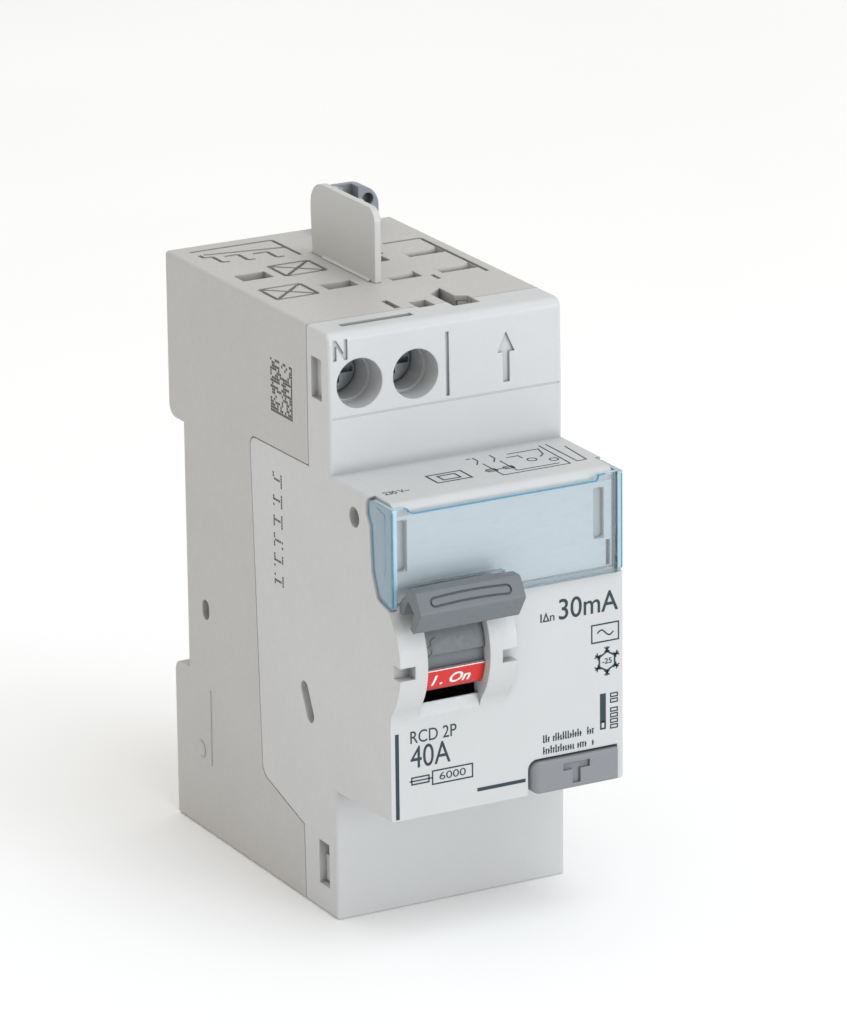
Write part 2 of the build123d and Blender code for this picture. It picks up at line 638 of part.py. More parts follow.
def line_supply_bar():
    """Bar that steps back below its clamp to the plane of the fixed contacts."""
    left, right = LINE_X - 1.9, LINE_X + 1.9
    return across(left, right, (LINE_BAR_REAR, 38.6), (LINE_BAR_FRONT, 38.6), (LINE_BAR_FRONT, 24.4),
                  (BAR_FRONT, 24.4), (BAR_FRONT, 5.0), (BAR_REAR, 5.0), (BAR_REAR, 25.9),
                  (LINE_BAR_REAR, 25.9))


def clamp_cage(x, bar_front, slot_rear):
    """Cage around a supply bar; the screw draws it forwards to grip what stands behind the bar."""
    front, rear = bar_front - 2.8, slot_rear + 1.3
    cage = block(x - 2.95, x + 2.95, front, rear, 30.6, 38.4)
    cage -= block(x - 2.4, x + 2.4, bar_front - 0.8, slot_rear + 0.1, 30, 39)
    return cage - rod_y(2.3 + RUN, front - 1, bar_front, x, SCREW_Z)


def neutral_clamp_cage():
    return clamp_cage(NEUTRAL_X, BAR_FRONT, NEUTRAL_SLOT[3])


def line_clamp_cage():
    return clamp_cage(LINE_X, LINE_BAR_FRONT, LINE_SLOT[3])


def terminal_screw(x, tip):
    """Screw with a combined slot and cross in its head; its tip bears on the supply bar."""
    screw = rod_y(2.3, SCREW_HEAD_BACK, tip, x, SCREW_Z)
    screw += rod_y(2.9, SCREW_HEAD_FRONT, SCREW_HEAD_BACK, x, SCREW_Z)
    depth = SCREW_HEAD_FRONT + 1.1
    screw -= block(x - 2.5, x + 2.5, SCREW_HEAD_FRONT - 1, depth, SCREW_Z - 0.4, SCREW_Z + 0.4)
    screw -= block(x - 0.4, x + 0.4, SCREW_HEAD_FRONT - 1, depth, SCREW_Z - 1.7, SCREW_Z + 1.7)
    rim = [e for e in screw.edges().filter_by(GeomType.CIRCLE)
           if abs(e.radius - 2.9) < 0.01 and e.center().Y < SCREW_HEAD_FRONT + 0.01]
    return fillet(rim, 0.3)


def neutral_terminal_screw():
    return terminal_screw(NEUTRAL_X, BAR_FRONT - 0.05)


def line_terminal_screw():
    return terminal_screw(LINE_X, LINE_BAR_FRONT - 0.05)


# ---- Outputs and conductors --------------------------------------------------------------------
def neutral_output_bar():
    """Plate behind the rear row of comb slots, down to the neutral conductor."""
    front = REAR_ROW - 4.4
    plate = block(1.6, 15.8, front, front + 1.2, 24.0, 38.0)
    plate += block(5.2, 8.8, front, front + 1.2, OUTPUT_FOOT, 24.0)
    return plate + block(5.2, 8.8, front, -14.2, OUTPUT_FOOT, OUTPUT_FOOT + 1.2)


def line_output_bar():
    """Plate behind the front row of comb slots, down to the line conductor."""
    front = FRONT_ROW - 4.2
    plate = block(1.6, 15.8, front, front + 1.2, OUTPUT_FOOT, 38.0)
    return plate + block(9.4, 12.4, front, -13.0, OUTPUT_FOOT, OUTPUT_FOOT + 1.2)


def comb_spring_clamps():
    """Leaf springs that press comb teeth against the output bars, one per slot."""
    springs = []
    for left, right, front, rear in OUTPUT_SLOTS:
        leaf = trace(Polyline((rear + 2.4, 38.0), (rear + 2.4, 28.0), (rear - 1.7, 32.0)),
                     line_width=0.5)
        springs.append(extrude(Plane.YZ.offset(left + 0.3) * leaf, amount=right - left - 0.6))
    return group(*springs)


def neutral_conductor():
    """Flexible lead from the neutral arm, through the sensor, to its output bar."""
    x, top = NEUTRAL_X, CARRIER_Z - 2.7
    return tube([(x, CARRIER_Y, top), (x, CARRIER_Y, -26), (x, SENSOR_Y, -26),
                 (NEUTRAL_WIRE_X, SENSOR_Y, -26), (NEUTRAL_WIRE_X, SENSOR_Y, OUTPUT_FOOT)], WIRE, 2.2)


def line_conductor():
    """Flexible lead from the line arm, through the sensor, to its output bar."""
    x, top = LINE_X, CARRIER_Z - 2.7
    return tube([(x, CARRIER_Y, top), (x, CARRIER_Y, -31), (LINE_WIRE_X, CARRIER_Y, -31),
                 (LINE_WIRE_X, SENSOR_Y, -31), (LINE_WIRE_X, SENSOR_Y, OUTPUT_FOOT)], WIRE, 2.2)


def ring(inner, outer, low, high):
    """Ring about the sensor's upright axis."""
    disc = rod_z(outer, low, high, SENSOR_X, SENSOR_Y)
    return disc - rod_z(inner, low - 1, high + 1, SENSOR_X, SENSOR_Y)


def sensor_casing():
    """Ring-shaped tray of the current sensor."""
    tray = ring(3.9, 7.0, SENSOR_LOW, SENSOR_HIGH)
    return tray - ring(4.5, 6.4, SENSOR_LOW + 0.9, SENSOR_HIGH + 1)


def sensor_core():
    return ring(4.6, 6.3, SENSOR_LOW + 0.9, SENSOR_HIGH - 0.4)


def sensor_winding():
    """Secondary winding over one sector of the ring."""
    sleeve = ring(3.72, 7.25, SENSOR_LOW - 0.35, SENSOR_HIGH + 0.35)
    sleeve -= ring(3.9, 7.0, SENSOR_LOW, SENSOR_HIGH)
    reach, spread = SENSOR_X - 12, 5
    sector = upright(SENSOR_LOW - 1, SENSOR_HIGH + 1, (SENSOR_X, SENSOR_Y),
                     (reach, SENSOR_Y + spread), (reach, SENSOR_Y - spread))
    return sleeve & sector


# ---- Trip relay and lever ----------------------------------------------------------------------
RELAY = (1.5, 15.5, -41.0, -28.0, -6.0, 8.0)


def relay_housing():
    """Open-fronted box of the trip relay."""
    left, right, front, rear, low, high = RELAY
    box = block(*RELAY) - block(left + 1, right - 1, front - 1, rear - 1, low + 1, high - 1)
    return box - rod_z(1.05, low - 1, low + 2, PLUNGER_X, PLUNGER_Y)


def relay_coil():
    """Winding beside the plunger, between the two flanges of its bobbin."""
    coil_x, coil_y, flange = 11.0, -36.5, 3.3
    winding = rod_z(3.0, -3.5, 4.5, coil_x, coil_y)
    for low in (-4.2, 4.5):
        winding += rod_z(flange, low, low + 0.7, coil_x, coil_y)
    return winding


def relay_magnet():
    return block(3.0, 7.0, -39.5, -34.5, -4.5, 1.5)


def relay_plunger():
    """Plunger that drops onto the trip lever when the relay lets go."""
    stem = rod_z(1.0, -7.9, 4.5, PLUNGER_X, PLUNGER_Y)
    return stem + rod_z(1.7, 1.0, 2.0, PLUNGER_X, PLUNGER_Y)


def relay_board():
    return block(1.5, 15.5, -41.0, -28.0, 9.6, 11.0)


def filter_capacitor():
    return rod_x(2.4, 3.0, 12.0, -34.5, 13.4)


def trip_lever():
    """Two-armed lever: the plunger presses one arm, the other frees the link."""
    left, right = -11.0, 13.0
    lever = rod_x(2.0, left, right, TRIP_Y, TRIP_Z)
    reach, pad = TRIP_Y + 9.5, TRIP_Z + 3.7
    lever += across(6.5, 10.5, (TRIP_Y, TRIP_Z - 1.0), (reach, pad - 1.4), (reach, pad),
                    (TRIP_Y + 5.0, pad), (TRIP_Y, TRIP_Z + 1.9))
    tip = TRIP_Z + 13.2
    lever += across(-10.4, -6.6, (TRIP_Y - 1.2, TRIP_Z), (TRIP_Y + 1.2, TRIP_Z),
                    (TRIP_Y + 0.8, tip), (TRIP_Y - 0.8, tip))
    return lever - rod_x(TRIP_SHAFT + RUN, -20, 20, TRIP_Y, TRIP_Z)


def trip_lever_shaft():
    return rod_x(TRIP_SHAFT, -INNER, INNER, TRIP_Y, TRIP_Z)


# ---- Test circuit ------------------------------------------------------------------------------
def test_button():
    """Button with a recessed letter T, flush with the nose's underside."""
    button = across(BUTTON_LEFT, 16.75, (-56.0, BUTTON_TOP), (-60.6, BUTTON_TOP, 0.35),
                    (-60.6, -21.6, 0.35), (-56.0, -21.85))
    corner = [e for e in button.edges().filter_by(Axis.Y)
              if abs(e.center().X - BUTTON_LEFT) < 0.1 and e.center().Z > -18]
    button = fillet(corner, 1.3)
    letter = block(8.3, 12.4, -62, -60.2, -18.9, -17.9)
    letter += block(9.75, 10.95, -62, -60.2, -20.9, -18.5)
    stem = block(8.6, 11.4, -56.1, -53.4, -20.2, -17.6)
    seat = rod_y(1.35, -58.5, -55.9, SPRING_X, SPRING_Z)
    return button - letter - seat + stem


def test_contact_blade():
    """Brass strip carried by the button's stem."""
    return block(8.2, 11.8, -53.4, -52.9, -20.0, -13.0)


def test_contact_post():
    """Fixed post that the blade meets when the button is pressed."""
    return rod_y(0.9, -51.3, -47.5, 10.0, -14.2) + rod_y(1.4, -47.5, -46.7, 10.0, -14.2)


def button_spring():
    """Return spring between its seat in the button and the pocket's back wall."""
    return coil(0.22, 0.9, 0.9, 3.6, Pos(SPRING_X, -58.2, SPRING_Z) * Rot(-90, 0, 0))


def test_resistor():
    """Round resistor with its two straight leads."""
    y, z = -34.0, -33.5
    return rod_x(1.6, 3.5, 12.5, y, z) + rod_x(0.3, 1.5, 14.5, y, z)


def test_wire():
    """Thin lead from the resistor side through the sensor to the line output."""
    return tube([(9.9, -30.0, -36.0), (9.9, -13.5, -36.0), (9.9, -13.5, OUTPUT_FOOT)], 0.4, 1.5)


# ---- Window, label and barrier -----------------------------------------------------------------
def label_window():
    """Clear flap: front panel, two side flanks and the studs it turns on."""
    inside = FLAP_SIDE - FLANK
    panel = frontal(PANEL_FRONT, PANEL_REAR,
                    (-inside, NOTCH_Z), (NOTCH_RIGHT, NOTCH_Z), (NOTCH_RIGHT, WINDOW_BOTTOM),
                    (inside, WINDOW_BOTTOM), (inside, TAB_TOP), (13.9, TAB_TOP, 0.3),
                    (13.6, WINDOW_TOP, 0.6), (-14.3, WINDOW_TOP, 0.6), (-15.2, TAB_TOP, 0.4),
                    (-inside, TAB_TOP))
    flank = across(inside, FLAP_SIDE, *flank_outline())
    stud = rod_x(0.8, inside - 0.9, inside, PIVOT_Y, PIVOT_Z)
    return panel + both_sides(flank + stud)


def label_card():
    """Paper label in its bed behind the flap, cut out around the thumb recesses."""
    front, rear = NOSE + 0.25, NOSE + 0.5
    card = block(-16.5, 16.3, front, rear, 8.9, 20.9)
    card -= block(-17, -14.8, front, rear, 13.2, 20.4)
    card -= block(13.5, 15.1, front, rear, 12.9, 20.1)
    return card - block(15.4, 16.1, front, rear, 8.95, 12.6)


def busbar_barrier():
    """White flag between the modules, standing in a slot of the top wall."""
    flag = across(-0.6, 0.4, (-6.6, TOP - 2.8), (-6.6, TOP), (-6.2, 48.0), (-6.2, 52.35, 3.4),
                  (-25.0, 52.4, 1.9), (-25.0, TOP + 0.05), (-24.4, TOP + 0.05), (-24.4, TOP - 2.8))
    for rear in (-10.0, -17.5):
        flag += block(0.4, 1.3, rear - 1.0, rear, 44.0, 52.0)
    foot = frontal(-23.7, -9.8, (-1.0, TOP + 0.05), (-0.5, TOP + 0.05), (-0.5, TOP + 0.45))
    return flag + foot


# ---- Rail latches ------------------------------------------------------------------------------
def spring_slits(low, high):
    """The two slits that leave a spring tongue in the middle of a latch."""
    return block(7.6, 8.2, -1, 4, low, high) + block(9.6, 10.2, -1, 4, low, high)


def upper_rail_latch():
    """Latch with its pull handle above the housing; its toe hooks the rail's upper edge."""
    plate = frontal(LATCH_FRONT, LATCH_REAR, (LATCH_LEFT, 18.0), (LATCH_RIGHT, 18.0),
                    (LATCH_RIGHT, HANDLE_TOP, 3.0), (LATCH_LEFT, HANDLE_TOP, 3.0))
    toe = across(LATCH_LEFT, LATCH_RIGHT, (1.3, 18.05), (1.3, 16.4), (2.2, 15.6),
                 (LATCH_REAR, 15.6), (LATCH_REAR, 18.05))
    slit = spring_slits(24, 38)
    pull = block(7.9, 10.2, -1, LATCH_REAR - 0.9, 45.6, HANDLE_TOP + 1)
    pull += rod_y(0.9, -1, 1.6, 11.7, 46.4)
    return plate + toe - slit - pull


def lower_rail_latch():
    """The same latch below the rail, its end just inside the housing's underside."""
    end = BOTTOM + 0.3
    plate = frontal(LATCH_FRONT, LATCH_REAR, (LATCH_LEFT, -17.3), (LATCH_RIGHT, -17.3),
                    (LATCH_RIGHT, end, 0.8), (LATCH_LEFT, end, 0.8))
    toe = across(LATCH_LEFT, LATCH_RIGHT, (1.3, -17.35), (1.3, -15.7), (2.2, -14.9),
                 (LATCH_REAR, -14.9), (LATCH_REAR, -17.35))
    pry_hole = block(7.1, 10.7, -1, LATCH_REAR + 1, end + 1.2, end + 2.6)
    return plate + toe - spring_slits(-36, -23) - pry_hole


NODES = [
    rear_base, front_cover, toggle, on_label, off_label, toggle_pin, toggle_spring, drive_link,
    crank_pin, carrier_link_pin, contact_carrier, carrier_shaft, moving_contact_arms,
    moving_contact_tips, fixed_contact_tips, contact_springs, arc_plates, neutral_supply_bar,
    line_supply_bar, neutral_clamp_cage, line_clamp_cage, neutral_terminal_screw,
    line_terminal_screw, neutral_output_bar, line_output_bar, comb_spring_clamps,
    neutral_conductor, line_conductor, sensor_casing, sensor_core, sensor_winding, relay_housing,
    relay_coil, relay_magnet, relay_plunger, relay_board, filter_capacitor, trip_lever,
    trip_lever_shaft, test_button, test_contact_blade, test_contact_post, button_spring,
    test_resistor, test_wire, label_window, label_card, busbar_barrier, upper_rail_latch,
    lower_rail_latch,
]

os.makedirs("parts", exist_ok=True)
for make in NODES:
    export_step(make(), f"parts/{make.__name__}.step")
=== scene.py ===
"""Looks of the residual current device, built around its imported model.

Lengths in the drawing helpers are millimetres in the frame of the CAD model; MM turns them into
metres. The front of the device faces -Y, +Z is up and X = 0 is the joint between its modules.
"""

import json
import random
from math import atan2, cos, degrees, pi, radians, sin, tau

import bmesh
import bpy
from mathutils import Matrix, Vector


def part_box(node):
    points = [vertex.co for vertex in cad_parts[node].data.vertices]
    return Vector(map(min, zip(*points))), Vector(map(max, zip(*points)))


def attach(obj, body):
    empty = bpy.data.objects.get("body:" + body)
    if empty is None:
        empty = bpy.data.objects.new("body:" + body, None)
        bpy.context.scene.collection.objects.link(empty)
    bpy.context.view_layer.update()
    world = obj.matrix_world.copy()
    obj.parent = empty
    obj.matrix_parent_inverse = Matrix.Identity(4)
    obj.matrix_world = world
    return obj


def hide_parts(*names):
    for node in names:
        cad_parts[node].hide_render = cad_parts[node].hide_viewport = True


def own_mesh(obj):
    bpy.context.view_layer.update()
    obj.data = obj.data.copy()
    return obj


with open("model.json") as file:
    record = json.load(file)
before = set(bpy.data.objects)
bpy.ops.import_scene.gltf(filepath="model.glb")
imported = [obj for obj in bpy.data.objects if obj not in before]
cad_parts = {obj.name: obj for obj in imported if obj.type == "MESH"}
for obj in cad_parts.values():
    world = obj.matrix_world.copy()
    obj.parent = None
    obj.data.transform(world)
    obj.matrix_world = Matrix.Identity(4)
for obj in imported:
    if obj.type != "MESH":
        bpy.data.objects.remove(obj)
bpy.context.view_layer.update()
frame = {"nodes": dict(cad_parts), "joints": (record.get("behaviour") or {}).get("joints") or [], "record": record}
nodes = frame["nodes"]

MM = 0.001
INK_UNDER, INK_OVER = 0.03, 0.03   # how far printing reaches below and above its surface, mm
RELIEF_UNDER = 0.1     # how far raised marks are sunk into the plastic, mm
CARD_RECESS = 0.25     # face of the label card behind the front face of the nose, mm
FLAP_RECESS = 0.3      # upper edge of the clear flap below the upper face of the nose, mm
FLAP_THICKNESS = 0.75  # side walls of the clear flap, mm


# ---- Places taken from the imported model, in millimetres ---------------------------------------
def low_mm(node):
    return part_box(node)[0] / MM


def high_mm(node):
    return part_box(node)[1] / MM


SIDE = high_mm("rear_base").x
BOTTOM = low_mm("rear_base").z
NOSE_FRONT = low_mm("label_card").y - CARD_RECESS
NOSE_TOP = high_mm("label_window").z + FLAP_RECESS
FOOT_BACK = high_mm("rear_base").y
RAIL_FACE = 0.0        # the model's origin lies on the face that the rail touches
FLAP_FRONT = low_mm("label_window").y
FLAP_SIDE = high_mm("label_window").x
FLAP_TOP = high_mm("label_window").z
AXLE = next(Vector(j["pos_m"]) / MM for j in frame["joints"] if j["name"] == "toggle_swing")
DRUM = max((v.co / MM - AXLE).yz.length for v in nodes["on_label"].data.vertices)
LABEL_LEFT, LABEL_RIGHT = low_mm("on_label").x, high_mm("on_label").x


def angle_of(node):
    """Middle angle of a node about the toggle axis, in degrees from +Y towards +Z."""
    middle = (low_mm(node) + high_mm(node)) / 2 - AXLE
    return degrees(atan2(middle.z, middle.y)) % 360


ON_ANGLE, OFF_ANGLE = angle_of("on_label"), angle_of("off_label")


# ---- Surfaces that printing lies on: (u, v) along the surface, h above it --------------------
def on_front(u, v, h):
    """Front face of the nose, u to the right and v upwards."""
    return Vector((u, NOSE_FRONT - h, v))


def on_nose_top(u, v, h):
    """Upper face of the nose, u to the right and v towards the rear."""
    return Vector((u, v, NOSE_TOP + h))


def on_left_side(u, v, h):
    """Left side of the housing, u towards the rear and v upwards."""
    return Vector((-SIDE - h, u, v))


def on_back(depth):
    """Rear face at a depth, u to the right as seen from the front and v upwards."""
    def place(u, v, h):
        return Vector((u, depth + h, v))
    return place


def on_flap(u, v, h):
    """Front face of the clear flap, u to the right and v upwards."""
    return Vector((u, FLAP_FRONT - h, v))


def on_flap_side(side):
    """Outer face of the flap's wall on side -1 or 1, u towards the rear and v upwards."""
    def place(u, v, h):
        return Vector((side * (FLAP_SIDE + h), u, v))
    return place


def on_drum(middle):
    """Drum of the toggle around an angle from +Y towards +Z, v upwards when it faces forwards."""
    def place(u, v, h):
        angle = radians(middle) - v / DRUM
        reach = DRUM + h
        return Vector((u, AXLE.y + reach * cos(angle), AXLE.z + reach * sin(angle)))
    return place


# ---- Mesh helpers ------------------------------------------------------------------------------
SHARPEST_MITRE = 0.35   # cosine at which a line's corner stops getting longer
LETTER_BANDS = 8        # bands that lettering is cut into, so that it can follow the drum


def new_piece(name, mesh, finish, body):
    """Object from a bmesh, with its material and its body."""
    bmesh.ops.recalc_face_normals(mesh, faces=mesh.faces)
    data = bpy.data.meshes.new(name)
    mesh.to_mesh(data)
    mesh.free()
    data.materials.append(finish)
    piece = bpy.data.objects.new(name, data)
    bpy.context.scene.collection.objects.link(piece)
    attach(piece, body)
    return piece


def add_prism(mesh, place, outline, under=INK_UNDER, over=INK_OVER):
    """Thin solid over a convex outline (u, v) on a surface."""
    low = [mesh.verts.new(place(u, v, -under) * MM) for u, v in outline]
    high = [mesh.verts.new(place(u, v, over) * MM) for u, v in outline]
    mesh.faces.new(low)
    mesh.faces.new(high)
    for i in range(len(outline)):
        j = (i + 1) % len(outline)
        mesh.faces.new((low[i], low[j], high[j], high[i]))


def rectangle(left, right, low, high):
    """Corners of an upright rectangle."""
    return [(left, low), (right, low), (right, high), (left, high)]


def circle(u, v, radius, steps):
    """Corners of a round outline."""
    return [(u + radius * cos(tau * i / steps), v + radius * sin(tau * i / steps))
            for i in range(steps)]


def ribbon(points, width, closed=False):
    """Outlines of the quads of a mitred line through points."""
    points = [Vector(p) for p in points]
    count = len(points)
    rails = []
    for i, point in enumerate(points):
        steps = []
        if closed or i > 0:
            steps.append((point - points[i - 1]).normalized())
        if closed or i < count - 1:
            steps.append((points[(i + 1) % count] - point).normalized())
        normals = [Vector((-s.y, s.x)) for s in steps]
        mitre = sum(normals, Vector((0, 0))).normalized()
        reach = width / 2 / max(SHARPEST_MITRE, mitre.dot(normals[0]))
        rails.append((point + mitre * reach, point - mitre * reach))
    ends = range(count if closed else count - 1)
    return [[rails[i][0], rails[(i + 1) % count][0], rails[(i + 1) % count][1], rails[i][1]]
            for i in ends]


def framed(left, right, low, high, width):
    """Line around a rectangle."""
    return ribbon(rectangle(left, right, low, high), width, closed=True)


def printed(name, place, outlines, finish, body="housing", slot="cover_plastic", **depth):
    """One piece of flat printing or fine relief made of convex outlines."""
    mesh = bmesh.new()
    for outline in outlines:
        add_prism(mesh, place, outline, **depth)
    return new_piece(name, mesh, finish, body)


def flat_letters(name, text, weight, slant):
    """Bmesh of a text in the plane, cut into bands across its height."""
    curve = bpy.data.curves.new(name, "FONT")
    curve.body = text
    curve.extrude = 0.01   # only tells the upper corners from the lower ones
    curve.offset = weight
    curve.shear = slant
    source = bpy.data.objects.new(name + "_source", curve)
    bpy.context.scene.collection.objects.link(source)
    bpy.context.view_layer.update()
    shape = source.evaluated_get(bpy.context.evaluated_depsgraph_get())
    letters = bpy.data.meshes.new_from_object(shape)
    bpy.data.objects.remove(source)
    mesh = bmesh.new()
    mesh.from_mesh(letters)
    bmesh.ops.remove_doubles(mesh, verts=mesh.verts, dist=1e-5)
    heights = [v.co.y for v in mesh.verts]
    for cut in range(1, LETTER_BANDS):
        level = min(heights) + (max(heights) - min(heights)) * cut / LETTER_BANDS
        bmesh.ops.bisect_plane(mesh, geom=mesh.verts[:] + mesh.edges[:] + mesh.faces[:],
                               plane_co=(0, level, 0), plane_no=(0, 1, 0))
    return mesh


def lettering(name, text, area, place, finish, body="housing",
              weight=0.0, slant=0.0):
    """Text fitted to an area (left, right, low, high) of a surface."""
    mesh = flat_letters(name, text, weight, slant)
    us = [v.co.x for v in mesh.verts]
    vs = [v.co.y for v in mesh.verts]
    first_u, first_v = min(us), min(vs)
    span_u, span_v = max(us) - first_u, max(vs) - first_v
    left, right, low, high = area
    for vert in mesh.verts:
        u = left + (right - left) * (vert.co.x - first_u) / span_u
        v = low + (high - low) * (vert.co.y - first_v) / span_v
        vert.co = place(u, v, INK_OVER if vert.co.z > 0 else -INK_UNDER) * MM
    return new_piece(name, mesh, finish, body)


# ---- Material helpers --------------------------------------------------------------------------
class Nodes:
    """A material under construction."""

    def __init__(self, name):
        self.material = bpy.data.materials.new(name)
        self.material.use_nodes = True
        self.tree = self.material.node_tree
        self.tree.nodes.clear()
        self.output = self.tree.nodes.new("ShaderNodeOutputMaterial")
        self.place = self.tree.nodes.new("ShaderNodeTexCoord").outputs["Object"]

    def add(self, kind, inputs=(), **settings):
        """New node; inputs holds (socket, value or output) pairs."""
        node = self.tree.nodes.new(kind)
        for key, value in settings.items():
            setattr(node, key, value)
        for socket, value in inputs:
            if isinstance(value, bpy.types.NodeSocket):
                self.tree.links.new(value, node.inputs[socket])
            else:
                node.inputs[socket].default_value = value
        return node

    def noise(self, per_mm, detail=3.0, stretch=(1, 1, 1)):
        """Noise with so many features per millimetre, stretched along an axis if asked."""
        placed = self.add("ShaderNodeMapping", [("Vector", self.place), ("Scale", stretch)])
        node = self.add("ShaderNodeTexNoise", [
            ("Vector", placed.outputs[0]), ("Scale", per_mm / MM), ("Detail", detail)])
        return node.outputs["Fac"]

    def remap(self, value, low, high, to_low=0.0, to_high=1.0):
        """A range of a value stretched to another range and held at its ends."""
        return self.add("ShaderNodeMapRange", [
            ("Value", value), ("From Min", low), ("From Max", high),
            ("To Min", to_low), ("To Max", to_high)]).outputs["Result"]

    def spread(self, factor, low, high):
        """A factor from 0 to 1 stretched to another range."""
        return self.remap(factor, 0.0, 1.0, low, high)

    def math(self, operation, *values):
        """Output of a maths node over numbers or outputs."""
        return self.add("ShaderNodeMath", list(enumerate(values)), operation=operation).outputs[0]

    def blend(self, factor, first, second, mode="MIX"):
        """Two colours mixed; inputs 6 and 7 of the node are the ones for colours."""
        node = self.add("ShaderNodeMix", [(0, factor), (6, first), (7, second)],
                        data_type="RGBA", blend_type=mode)
        return node.outputs[2]

    def between(self, factor, first, second):
        """Two shaders mixed."""
        return self.add("ShaderNodeMixShader", [(0, factor), (1, first), (2, second)]).outputs[0]

    def edges(self, radius_mm):
        """(softened normal, factor that rises along sharp edges)."""
        soft = self.add("ShaderNodeBevel", [("Radius", radius_mm * MM)], samples=4)
        true = self.add("ShaderNodeNewGeometry").outputs["Normal"]
        dot = self.add("ShaderNodeVectorMath", [(0, soft.outputs[0]), (1, true)],
                       operation="DOT_PRODUCT")
        return soft.outputs[0], self.remap(dot.outputs["Value"], 0.995, 0.80)

    def hollows(self, reach_mm):
        """Factor that rises in grooves, wells and corners, where shade is painted."""
        open_sky = self.add("ShaderNodeAmbientOcclusion", [("Distance", reach_mm * MM)], samples=6,
                            only_local=True)
        return self.remap(open_sky.outputs["AO"], 0.35, 0.95, 1.0, 0.0)

    def bump(self, height, strength, depth_mm, normal=None):
        """Normal tilted by a height, on top of another normal if there is one."""
        inputs = [("Height", height), ("Strength", strength), ("Distance", depth_mm * MM)]
        if normal is not None:
            inputs.append(("Normal", normal))
        return self.add("ShaderNodeBump", inputs).outputs["Normal"]

    def principled(self, **inputs):
        """Surface shader joined to the output."""
        names = [(key.replace("_", " "), value) for key, value in inputs.items()]
        shader = self.add("ShaderNodeBsdfPrincipled", names)
        self.tree.links.new(shader.outputs[0], self.output.inputs["Surface"])
        return shader


def shade(colour, factor):
    """A colour made lighter or darker, with alpha."""
    return tuple(min(1.0, c * factor) for c in colour) + (1.0,)


def moulded_plastic(name, colour, roughness=0.42, grain=0.5, wear_and_highlight=1.12, glow=0.0, hollow_shade=0.68):
    """Moulded plastic: spark-eroded grain, faint clouding, light edges and painted shade in hollows.

    The edge factor lightens the edges as wear and as a painted highlight, the hollow factor sets
    how dark the painted shade in the hollows gets, and glow lets light in below the surface.
    """
    n = Nodes(name)
    soft, edge = n.edges(0.25)
    clouds = n.remap(n.noise(0.06, 4.0), 0.3, 0.7)
    specks = n.remap(n.noise(1.6, 5.0), 0.35, 0.65)
    body = n.blend(clouds, shade(colour, 0.975), shade(colour, 1.02))
    body = n.blend(n.spread(specks, 0.0, 0.10), body, shade(colour, 0.88))
    # Lighter edges: partly wear, partly a painted highlight.
    rubbed = n.noise(0.5, 4.0)
    worn_and_highlit_edges = n.math("MULTIPLY", edge, n.remap(rubbed, 0.35, 0.7, 0.15, 0.9))
    body = n.blend(worn_and_highlit_edges, body, shade(colour, wear_and_highlight))
    # Painted shade: the plastic is made darker in grooves, wells and corners.
    painted_hollow_shade = n.blend(n.hollows(2.0), (1.0, 1.0, 1.0, 1.0), (hollow_shade, hollow_shade, hollow_shade, 1.0))
    body = n.blend(1.0, body, painted_hollow_shade, "MULTIPLY")
    fine = n.noise(7.0, 4.0)
    sheen = n.spread(specks, roughness - 0.05, roughness + 0.08)
    normal = n.bump(fine, grain, 0.012, soft)
    n.principled(Base_Color=body, Roughness=sheen, Normal=normal, IOR=1.5,
                 Subsurface_Weight=glow, Subsurface_Scale=0.6 * MM,
                 Subsurface_Radius=(1.0, 0.9, 0.8))
    return n.material


def printing_ink(name, colour):
    """Pad printed ink, slightly uneven and matt."""
    n = Nodes(name)
    patches = n.remap(n.noise(2.5, 4.0), 0.3, 0.7)
    body = n.blend(patches, shade(colour, 0.85), shade(colour, 1.15))
    n.principled(Base_Color=body, Roughness=n.spread(patches, 0.45, 0.65),
                 Normal=n.bump(n.noise(9.0), 0.3, 0.006))
    return n.material


def drawn_metal(name, colour, roughness=0.32, stretch=(1, 0.08, 1), tarnish=0.75):
    """Drawn or rolled metal with fine lines along one direction and light tarnish."""
    n = Nodes(name)
    soft, edge = n.edges(0.12)
    lines = n.noise(9.0, 5.0, stretch)
    stains = n.remap(n.noise(0.35, 5.0), 0.4, 0.7)
    body = n.blend(stains, shade(colour, 1.0), shade(colour, tarnish))
    body = n.blend(edge, body, shade(colour, 1.25))
    rough = n.remap(lines, 0.2, 0.8, roughness - 0.08, roughness + 0.14)
    n.principled(Base_Color=body, Metallic=1.0, Roughness=rough,
                 Normal=n.bump(lines, 0.25, 0.01, soft))
    return n.material


def wound_wire(name, colour):
    """Enamelled winding: bands of wire across the part, with painted shade between the turns."""
    n = Nodes(name)
    wave = n.add("ShaderNodeTexWave", [
        ("Vector", n.place), ("Scale", 1.1 / MM), ("Distortion", 0.6), ("Detail", 2.0)],
        bands_direction="Z").outputs["Fac"]
    # Painted shade: darker between the turns.
    body = n.blend(wave, shade(colour, 0.35), shade(colour, 1.1))
    n.principled(Base_Color=body, Metallic=0.6, Normal=n.bump(wave, 0.9, 0.12),
                 Roughness=n.remap(n.noise(2.0), 0.3, 0.7, 0.25, 0.45))
    return n.material


def circuit_board(name, colour):
    """Solder resist with tracks that show as slightly raised lighter lines."""
    n = Nodes(name)
    cells = n.add("ShaderNodeTexVoronoi", [("Vector", n.place), ("Scale", 0.5 / MM)],
                  feature="DISTANCE_TO_EDGE", distance="MANHATTAN").outputs["Distance"]
    tracks = n.remap(cells, 0.03, 0.09, 1.0, 0.0)
    body = n.blend(tracks, shade(colour, 0.9), shade(colour, 1.9))
    n.principled(Base_Color=body, Roughness=n.remap(n.noise(1.5), 0.3, 0.7, 0.2, 0.4),
                 Normal=n.bump(tracks, 0.5, 0.03))
    return n.material


